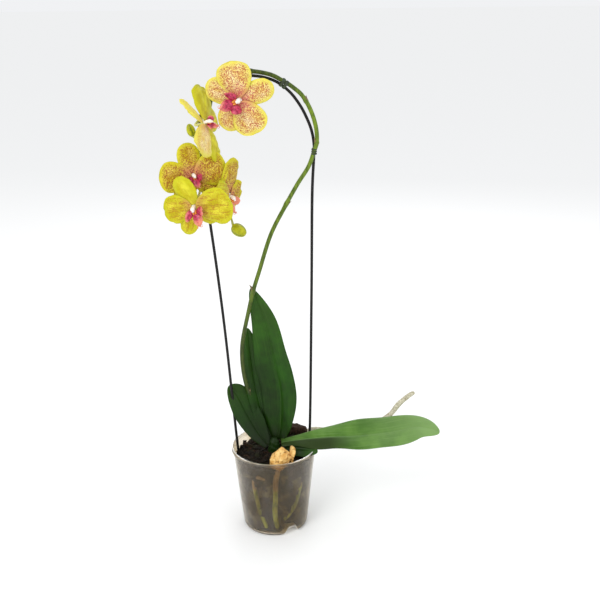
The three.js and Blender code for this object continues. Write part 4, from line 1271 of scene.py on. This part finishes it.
def leaf_outline(v, fullest, waist, tip, foot):
    rise = np.where(v < fullest, v / fullest, 1 - (v - fullest) / (1 - fullest))
    swell = np.sin(np.pi / 2 * np.clip(rise, 0, 1))
    return np.where(v < fullest, foot + (1 - foot) * swell**waist, swell**tip)


def make_leaf(name, midrib, half, fullest, looks, fold, waist=1.2, tip=0.5, wave=1.0, light=False,
              foot=LEAF_BASE_SHARE, dusk=(0.3, 0.6), painted_shade_half=(0, 1), belly=0.0):
    line = Spline([bark(*p) for p in midrib])
    seed = sum(map(ord, name)) % 17
    length = line.measured(200)[1][-1]

    def place(u, v, side):
        tangent = line.tangent(v)
        face = unit(np.array(looks[0]) * (1 - v[:, None]) + np.array(looks[1]) * v[:, None])
        across = unit(np.cross(tangent, face))
        normal = unit(np.cross(across, tangent))
        width = half * leaf_outline(v, fullest, waist, tip, foot)
        width = width * (1 + belly * (u > 0) * np.exp(-(((v - 0.2) / 0.12) ** 2)))
        thick = (LEAF_EDGE_THICKNESS + (LEAF_THICKNESS - LEAF_EDGE_THICKNESS) * (1 - np.abs(u) ** 1.7)) / 2
        rise = fold * width * (np.abs(u) - 0.12 * np.exp(-((u / 0.12) ** 2)) + 0.12)
        if side > 0:
            rise -= 0.9 * np.exp(-((u / 0.05) ** 2)) * (1 - v)
        else:
            rise -= 1.5 * np.exp(-((u / 0.07) ** 2)) * (1 - 0.7 * v)
        ripple = np.sin(2 * np.pi * (2.2 * v + 0.13 * seed))
        ripple += 0.6 * np.sin(2 * np.pi * (4.1 * v + 0.3 * seed) + 1.3 * u)
        rise += wave * ripple * np.abs(u) ** 2 * np.sin(np.pi * np.clip(v, 0, 1)) * (1 + 0.3 * np.sign(u))
        rise -= 0.06 * width * np.abs(u) ** 5
        return line.at(v) + across * (u * width)[:, None] + normal * (rise + side * thick)[:, None]

    def facts(u, v):
        width = half * leaf_outline(v, fullest, waist, tip, foot)
        # The base, and one half near it, are darkened with painted shade.
        painted_half_shade = abs(painted_shade_half[0]) * smoothstep(0.0, 0.2, u * np.sign(painted_shade_half[0]))
        return {
            "uv": np.stack([u * width, v * length], 1) / UV_UNIT,
            "margin": (1 - np.abs(u)) * np.maximum(width, 0.5),
            "centre": np.exp(-((u / 0.06) ** 2)) * (1 - 0.6 * v),
            # Lighter towards the tip: painted light.
            "sunlit": smoothstep(0.45, 1.0, v),
            "dusk": np.maximum(dusk[1] * np.clip(1 - v / dusk[0], 0, 1) ** 1.3,
                               painted_half_shade * smoothstep(1.25, 0.8, v / painted_shade_half[1])),
        }

    pile = Pile()
    vertices, faces, _, known = blade(place, *LEAF_GRID, facts, 0.6)
    pile.add(vertices, faces, **known)
    # Leaves marked light take the copy with painted light.
    finish_piece(name + "_form", pile, [LEAF_PAINTED_LIT if light else LEAF_DARK], "leaf", name)


for leaf_name, form in LEAVES.items():
    make_leaf(leaf_name, **form)


def make_stem_base():
    """Short stem wrapped in folded leaf feet that overlap left and right."""
    low, high = BARK_Z - 22, BARK_Z + 20
    rows, columns = 60, 72
    vertices = [[0, 0, low]]
    for i in range(1, rows):
        z = low + (high - low) * i / rows
        r = np.interp(z, [low, low + 8, BARK_Z + 4, high - 6, high], [4.5, 8.8, 8.8, 6.2, 2.4])
        for j in range(columns):
            a = 2 * math.pi * j / columns
            layer = ((z - low) / 7 + 0.5 * math.cos(a)) % 1.0
            fold = 0.9 * abs(math.cos(a)) ** 6
            reach = r * (0.9 + 0.09 * layer) + fold
            vertices.append([reach * math.cos(a), 0.86 * reach * math.sin(a), z])
    vertices.append([0, 0, high])
    vertices = np.array(vertices)
    angle = np.arctan2(vertices[:, 1], vertices[:, 0])
    stem = Pile()
    # Painted shade darkens the whole stem base.
    stem.add(vertices, ring_faces(rows - 1, columns), uv=np.stack([angle * 9, vertices[:, 2]], 1) / UV_UNIT,
             margin=5.0, centre=0.0, dusk=0.7)
    finish_piece("stem_base_form", stem, [LEAF_DARK], "leaf", "stem_base")


make_stem_base()


# ================================================================ flowers
LIP_SCALE = 1.25
DORSAL = 90.0
TEPAL_THICKNESS = 1.1
PETAL_GRID, SEPAL_GRID, LOBE_GRID = (46, 37), (42, 27), (26, 17)


def petal_outline(v):
    round_end = np.sqrt(np.maximum(0, 1 - v**2.6))
    return np.maximum(0.1 * (v < 0.9), 1.32 * np.maximum(v, 1e-6) ** 0.52 * round_end)


def sepal_outline(v):
    return np.maximum(0.12 * (v < 0.9), 1.3 * (0.12 + 0.88 * v) ** 0.5 * np.sqrt(np.maximum(0, 1 - v**2.2)))


PETAL = dict(length=40, half=22.5, depth=0.6, outline=petal_outline)
SEPAL = dict(length=38, half=15.5, depth=-1.8, outline=sepal_outline)
TEPALS = {
    "petal_right": dict(turn=DORSAL - 80, **PETAL),
    "petal_left": dict(turn=DORSAL + 80, **PETAL),
    "sepal_dorsal": dict(turn=DORSAL, **SEPAL),
    "sepal_right": dict(turn=DORSAL - 138, **SEPAL),
    "sepal_left": dict(turn=DORSAL + 138, **SEPAL),
}
# Where each flower leaves the spike, its middle from there, which way it looks, where its dorsal sepal
# points, how far its face bends back (bowl) and its petals come forward (lift), its size, how far tepals
# swing aside, its lip's size and paleness, its ground colour, and a form for single tepals: length, width
# and how flecked they are, each as a share of the usual.
FLOWERS = {
    "flower_1": dict(
        spike=21, at=(-10, -40, -30), facing=(-0.1, -0.97, -0.15), dorsal=(0.93, 0, 0.36), bowl=2, lift=3,
        scale=1.1, swing={"petal_right": -6}, lip=(1.0, 0.0), skin="cream",
        form={"sepal_left": (1.0, 1.1, 1.0), "sepal_right": (1.0, 1.1, 1.0)}),
    "flower_2": dict(
        spike=24.5, at=(-1, -40, -3), facing=(0.88, -0.38, 0.28), dorsal=(-0.47, -0.66, 0.585), bowl=3,
        lift=2, scale=0.98, swing={"petal_left": 18, "sepal_left": 14, "sepal_dorsal": -12},
        lip=(0.72, 0.2), skin="cream",
        form={"petal_right": (1.2, 1.05, 0.1), "petal_left": (1.05, 1.0, 0.5),
              "sepal_dorsal": (1.12, 0.42, 0.3), "sepal_right": (1.15, 1.2, 0.1),
              "sepal_left": (1.42, 1.15, 0.1)}),
    "flower_3": dict(
        spike=25.6, at=(-16, -40, -37), facing=(0.3, -0.93, 0.1), dorsal=(-0.28, 0, 0.96), bowl=2, lift=3,
        scale=1, swing={"petal_left": -4, "petal_right": -10, "sepal_dorsal": -8}, lip=(0.75, 0.0),
        skin="yellow",
        form={"petal_right": (1.05, 1.1, 1.0), "sepal_dorsal": (1.0, 1.1, 0.9)}),
    "flower_4": dict(
        spike=26.6, at=(-15, -61, -39), facing=(-0.15, -0.95, -0.2), dorsal=(-0.44, 0, 0.9), bowl=-1, lift=5,
        scale=1.04, swing={"petal_left": -8, "petal_right": -30, "sepal_right": -12, "sepal_left": -4},
        lip=(1.0, 0.25), skin="yellow",
        form={"petal_right": (1.16, 1.2, 0.55), "petal_left": (0.85, 0.95, 0.62),
              "sepal_dorsal": (1.0, 0.95, 0.1), "sepal_right": (0.78, 0.9, 0.3),
              "sepal_left": (1.0, 0.85, 0.5)}),
    "flower_5": dict(
        spike=27.4, at=(20, -16, -11), facing=(0.84, -0.46, -0.28), dorsal=(-0.04, 0, 1), bowl=2, lift=2,
        scale=1, swing={}, lip=(0.9, 0.9), skin="yellow",
        form={"sepal_dorsal": (1.25, 1.35, 1.0), "petal_right": (0.62, 0.8, 1.0),
              "petal_left": (1.0, 1.1, 0.5), "sepal_left": (1.0, 1.1, 0.1), "sepal_right": (1.0, 1.35, 0.1)}),
}


def flower_frame(spike, at, facing, dorsal):
    front = unit(facing)
    up = unit(np.array(dorsal) - front * np.dot(dorsal, front))
    return spike_at(spike) + np.array(at), np.stack([np.cross(up, front), up, front])


def make_tepal(flower_name, part, flower, origin, axes):
    form = TEPALS[part]
    size = flower["scale"]
    angle = math.radians(form["turn"] + flower["swing"].get(part, 0))
    petal = form["depth"] > 0
    lift = flower["lift"] * (1 if petal else -0.4)
    rng = np.random.default_rng(sum(map(ord, flower_name + part)))
    phase, ruffle, twist = rng.uniform(0, 6.28), rng.uniform(0.7, 1.3), rng.uniform(-0.05, 0.05)
    longer, wider, flecked = flower["form"].get(part, (1.0, 1.0, 1.0))
    length = form["length"] * size * longer
    half = form["half"] * size * wider

    def place(u, v, side):
        reach = COLUMN_RADIUS + v * length
        width = half * form["outline"](v)
        aside = u * width
        spread = np.hypot(reach, aside) / (40 * size)
        z = form["depth"] - flower["bowl"] * spread**2 + lift * v**1.5 * (0.5 + 0.5 * u * u)
        edge = np.abs(u)
        z = z - 0.9 * np.exp(-((u / 0.07) ** 2)) * np.sin(np.pi * np.clip(v * 0.9 + 0.05, 0, 1))
        waves = np.sin(4.6 * np.pi * v + 2.4 * np.sign(u) + phase)
        z = z + ruffle * (1.5 if petal else 0.6) * edge**2.4 * v * waves
        z = z + 0.5 * ruffle * edge**2 * v * np.sin(11 * v * np.pi + 1.7 * u + phase * 2)
        z = z + (1.6 if petal else 0.9) * np.sin(np.pi * v) * (0.6 - edge**2)
        z = z - 1.8 * edge**5 * np.sin(np.pi * np.clip(v, 0, 1)) - 1.6 * np.clip(v - 0.86, 0, 1) / 0.14
        z = z + twist * aside * v
        z = z + 0.12 * np.sin(u * 34 + phase) * v * (1 - edge**4)
        thick = 0.16 + (TEPAL_THICKNESS / 2 - 0.16) * (1 - edge**2.2) * (1 - 0.4 * v)
        z = z + side * thick
        x = math.cos(angle) * reach + math.sin(angle) * aside
        y = math.sin(angle) * reach - math.cos(angle) * aside
        return origin + x[:, None] * axes[0] + y[:, None] * axes[1] + z[:, None] * axes[2]

    def facts(u, v):
        width = half * form["outline"](v)
        from_tip = (1 - v) * length * 1.2
        shift = rng.uniform(0, 40)
        fanned = u * width * (0.35 + 0.65 * (1 - v)) + u * 12 * v
        return {
            "uv": np.stack([fanned + shift, v * length], 1) / UV_UNIT,
            "margin": np.minimum((1 - np.abs(u)) * width, from_tip),
            "along": v,
            "flecked": np.full(len(u), flecked),
        }

    vertices, faces, sides, known = blade(place, *(PETAL_GRID if petal else SEPAL_GRID), facts, 0.7)
    pile = Pile()
    pile.add(vertices, faces, sides, **known)
    name = f"{flower_name}_{part}"
    face = PETAL_FACE if flecked > 0.7 else PETAL_PLAIN
    if flower["skin"] == "cream" and flecked > 0.2:
        face = PETAL_CREAM
    finish_piece(name + "_form", pile, [face, PETAL_BACK], "tepal", name)


def swept(points, radii, sides=10):
    """A small closed tube through points, its ends drawn together; gives vertices and faces."""
    points = np.asarray(points, float)
    line = Spline(points)
    t = np.linspace(0, 1, len(radii))
    vertices = []
    tangents = line.tangent(t)
    guide = np.array([0.31, 0.21, 0.93])
    for centre, tangent, radius in zip(line.at(t), tangents, radii):
        a = unit(np.cross(tangent, guide))
        b = np.cross(tangent, a)
        for j in range(sides):
            w = 2 * math.pi * j / sides
            vertices.append(centre + radius * (a * math.cos(w) + b * math.sin(w)))
    n = len(radii)
    faces = []
    for i in range(n - 1):
        for j in range(sides):
            k = (j + 1) % sides
            faces.append((i * sides + j, i * sides + k, (i + 1) * sides + k, (i + 1) * sides + j))
    faces.append(tuple(range(sides))[::-1])
    faces.append(tuple((n - 1) * sides + j for j in range(sides)))
    return np.array(vertices), faces


def ball(centre, radii, rings=10, sides=14):
    angles = np.linspace(-np.pi / 2, np.pi / 2, rings + 1)
    profile = [(math.cos(a), math.sin(a)) for a in angles]
    profile[0], profile[-1] = (0, -1), (0, 1)
    vertices, faces = turned(profile, sides)
    return vertices * radii + centre, faces


def make_lip(flower_name, flower, origin, axes):
    share, paleness = flower["lip"]
    size = flower["scale"] * LIP_SCALE * share
    to_world = lambda p: origin + (np.asarray(p) * size) @ axes
    pile = Pile()

    def lobe(root, direction, across, length, half, shape, curl, zone_end):
        root, direction, across = np.array(root), np.array(direction), np.array(across)
        normal = np.cross(across, direction)

        def place(u, v, side):
            width = half * shape(v)
            thick = 0.12 + 0.42 * (1 - np.abs(u) ** 2) * (1 - 0.5 * v)
            rise = 1.6 * u * u + curl * v**2 + 0.25 * np.sin(9 * v + 3 * u) * np.abs(u) + side * thick
            p = root + direction * (v * length)[:, None] + across * (u * width)[:, None]
            return to_world(p + normal * rise[:, None])

        def facts(u, v):
            outward = np.clip(v * 0.8 + 0.3 * np.abs(u), 0, 1)
            return {"zone": 0.55 + paleness + (zone_end - 0.55) * outward}

        vertices, faces, _, known = blade(place, *LOBE_GRID, facts, 0.6)
        pile.add(vertices, faces, **known)

    tongue = lambda v: (0.32 + 2.3 * v * (1 - v)) * np.sqrt(np.clip(1 - v**7, 0, 1))
    wing = lambda v: (0.45 + 1.8 * v * (1 - 0.7 * v)) * np.sqrt(np.clip(1 - v**6, 0, 1))
    lobe((0, -3.5, 4), (0, -0.8, 0.6), (1, 0, 0), 15, 5.8, tongue, 1.2, 2.0)
    for s in (-1, 1):
        spread = unit((s * 0.84, -0.1, 0.54))
        lobe((s * 1.5, -3.5, 4.2), spread, unit((s * 0.3, s * 0.82, -s * 0.32)), 10, 4.6, wing, s * -1.0, 1.6)
        tendril = [to_world(p) for p in (
            (s * 0.6, -14.6, 12.6), (s * 1.7, -16.6, 13.6), (s * 3.0, -16.9, 12.0), (s * 3.3, -15.4, 10.6))]
        pile.add(*swept(tendril, [0.55, 0.5, 0.45, 0.38, 0.32, 0.26, 0.2, 0.12], 8), zone=2.2)
        vertices, faces = ball((s * 1.1, -4.2, 6.4), (0.9, 1.4, 0.9))
        pile.add(to_world(vertices), faces, zone=0.0)
    vertices, faces = ball((0, -3.4, 4), (2.4, 2, 2))
    pile.add(to_world(vertices), faces, zone=0.2)
    name = flower_name + "_lip"
    finish_piece(name + "_form", pile, [LIP_FINISH], "lip", name)


def make_stalk_and_column(flower_name, flower, origin, axes):
    local = lambda *p: origin + np.array(p) @ axes
    name = flower_name + "_stalk_column"
    start = spike_at(flower["spike"])
    back = local(0, 0, -14)
    middle = start * 0.4 + back * 0.6 + UP * 3
    line = Spline([start + FRONT * SPIKE_RADIUS * 0.6, middle, back, local(0, 0, 0.5)])
    thick = lambda t, s: 1.45 + 0.35 * np.exp(-((t / 0.08) ** 2)) + 0.9 * smoothstep(0.86, 1.0, t)
    mesh = rod_along(line, thick, STALK_FINISH, step=1.2, sides=14)
    finish_piece(flower_name + "_stalk_form", mesh, [STALK_FINISH], "stalk_column", name)
    line = Spline([local(0, 0, -3.4), local(0, 0.4, 3), local(0, -0.2, 7), local(0, -1.6, 9.6)])
    girth = min(1.0, 0.35 + 0.65 * flower["lip"][0])
    thick = lambda t, s: girth * np.interp(t, [0, 0.3, 0.55, 0.8, 1], [2.1, 2.2, 2.5, 3.0, 2.3])
    column = rod_along(line, thick, COLUMN_FINISH, step=0.7, sides=18)
    pile = Pile()
    pile.add(vertex_places(column), [tuple(f.vertices) for f in column.polygons],
             along=attribute_values(column, "along"))
    vertices, faces = ball((0, -1.9, 9.2), np.array((2.0, 1.5, 1.5)) * girth)
    pile.add(origin + vertices @ axes, faces, along=9.0)
    finish_piece(flower_name + "_column_form", pile, [COLUMN_FINISH], "stalk_column", name)


for flower_name, flower in FLOWERS.items():
    origin, axes = flower_frame(flower["spike"], flower["at"], flower["facing"], flower["dorsal"])
    for part in TEPALS:
        make_tepal(flower_name, part, flower, origin, axes)
    make_lip(flower_name, flower, origin, axes)
    make_stalk_and_column(flower_name, flower, origin, axes)


BUDS = {
    "bud_low": dict(spike=29, at=(15, -22, -23), points=(0.8, -0.2, -0.5), radii=(8, 10.5), taper=0.55),
    "bud_high": dict(spike=26, at=(-21, 2, 25), points=(-0.3, 0, 1), radii=(5.5, 8.5), taper=0.85),
}


def make_bud(name, spike, at, points, radii, taper):
    start = spike_at(spike)
    centre = start + np.array(at)
    axis = unit(points)
    side = unit(np.cross(axis, (0.2, 1, 0.1)))
    other = np.cross(axis, side)
    rows, columns = 44, 60
    vertices, seams = [centre - axis * radii[1]], [1.0]
    for i in range(1, rows):
        a = math.pi * i / rows
        along = -math.cos(a)
        girth = math.sin(a) ** (0.9 if along > 0 else taper + 0.35) * (1 - 0.1 * along)
        for j in range(columns):
            w = 2 * math.pi * j / columns
            from_seam = abs(((w * 3 / (2 * math.pi)) % 1.0) - 0.5) * 2  # 0 midway, 1 at a seam
            groove = math.exp(-(((1 - from_seam) / 0.07) ** 2)) * (0.4 + 0.6 * max(along, 0))
            swell = 1 + 0.035 * math.cos(math.pi * from_seam) - 0.05 * groove
            reach = radii[0] * girth * swell
            outward = side * math.cos(w) + other * math.sin(w)
            vertices.append(centre + axis * along * radii[1] + reach * outward)
            seams.append(1 - from_seam)
    vertices.append(centre + axis * radii[1])
    seams.append(0.3)
    bud = Pile()
    bud.add(np.array(vertices), ring_faces(rows - 1, columns), seam=seams)
    finish_piece(name + "_form", bud, [BUD_FINISH], "bud", name)
    tail = centre - axis * radii[1] * 0.8
    away = unit(tail - start)
    line = Spline([start + away * SPIKE_RADIUS * 0.6, start * 0.45 + tail * 0.55 + UP * 2, tail])
    collar = 1.2 if taper > 0.7 else 0.7
    thick = lambda t, s: 1.25 + 0.4 * np.exp(-((t / 0.1) ** 2)) + collar * smoothstep(0.6, 1.0, t)
    mesh = rod_along(line, thick, STALK_FINISH, step=1.2, sides=14)
    finish_piece(name + "_stalk", mesh, [STALK_FINISH], "stalk_column", name)


for bud_name, form in BUDS.items():
    make_bud(bud_name, **form)


# ================================================================ floor, light and camera
def make_stage():
    # Matt paint, nearly white: the ground meets the backdrop without a line.
    paint = Finish("studio floor, matt paint", "FDFDFC").done({"Roughness": 0.9, "Specular IOR Level": 0.0})
    mesh = bpy.data.meshes.new("floor")
    reach, below = 60, 0.0006
    corners = [(-reach, -reach), (reach, -reach), (reach, reach), (-reach, reach)]
    mesh.from_pydata([(x, y, -below) for x, y in corners], [], [(0, 1, 2, 3)])
    mesh.materials.append(paint)
    placed("floor", mesh)
    world = bpy.data.worlds.new("studio")
    bpy.context.scene.world = world
    bpy.context.scene.view_settings.view_transform = "Standard"
    world.use_nodes = True
    backdrop = next(n for n in world.node_tree.nodes if n.bl_idname == "ShaderNodeBackground")
    backdrop.inputs["Color"].default_value = colour("F4F5F7")
    backdrop.inputs["Strength"].default_value = 0.97
    # Each soft lamp's place and aim in metres, its side in metres and its power in watts.
    for name, place, aim, size, power in (
        ("key", (-0.9, -1.5, 1.7), (0, 0, 0.35), 1.0, 17),
        ("fill", (1.5, -1.1, 0.9), (0, 0, 0.3), 1.4, 4),
        ("back", (0.3, 1.5, 1.5), (0, 0, 0.4), 1.2, 7),
    ):
        light = bpy.data.lights.new(name, "AREA")
        light.energy = power
        light.size = size
        lamp = placed(name, light)
        lamp.location = place
        lamp.rotation_euler = (Vector(aim) - Vector(place)).to_track_quat("-Z", "Y").to_euler()


def make_camera():
    pitch, roll = math.radians(-18.6), math.radians(-0.6)
    forward = Vector((0, math.cos(pitch), math.sin(pitch)))
    right, up = Vector((1, 0, 0)), Vector((0, -math.sin(pitch), math.cos(pitch)))
    turned_right = right * math.cos(roll) + up * math.sin(roll)
    turned_up = up * math.cos(roll) - right * math.sin(roll)
    lens = bpy.data.cameras.new("camera")
    lens.lens = 54
    lens.sensor_width = 36
    camera = placed("camera", lens)
    matrix = Matrix((turned_right, turned_up, -forward)).transposed().to_4x4()
    matrix.translation = (0.0385, -1.140, 0.718)
    camera.matrix_world = matrix
    bpy.context.scene.camera = camera


make_stage()
make_camera()
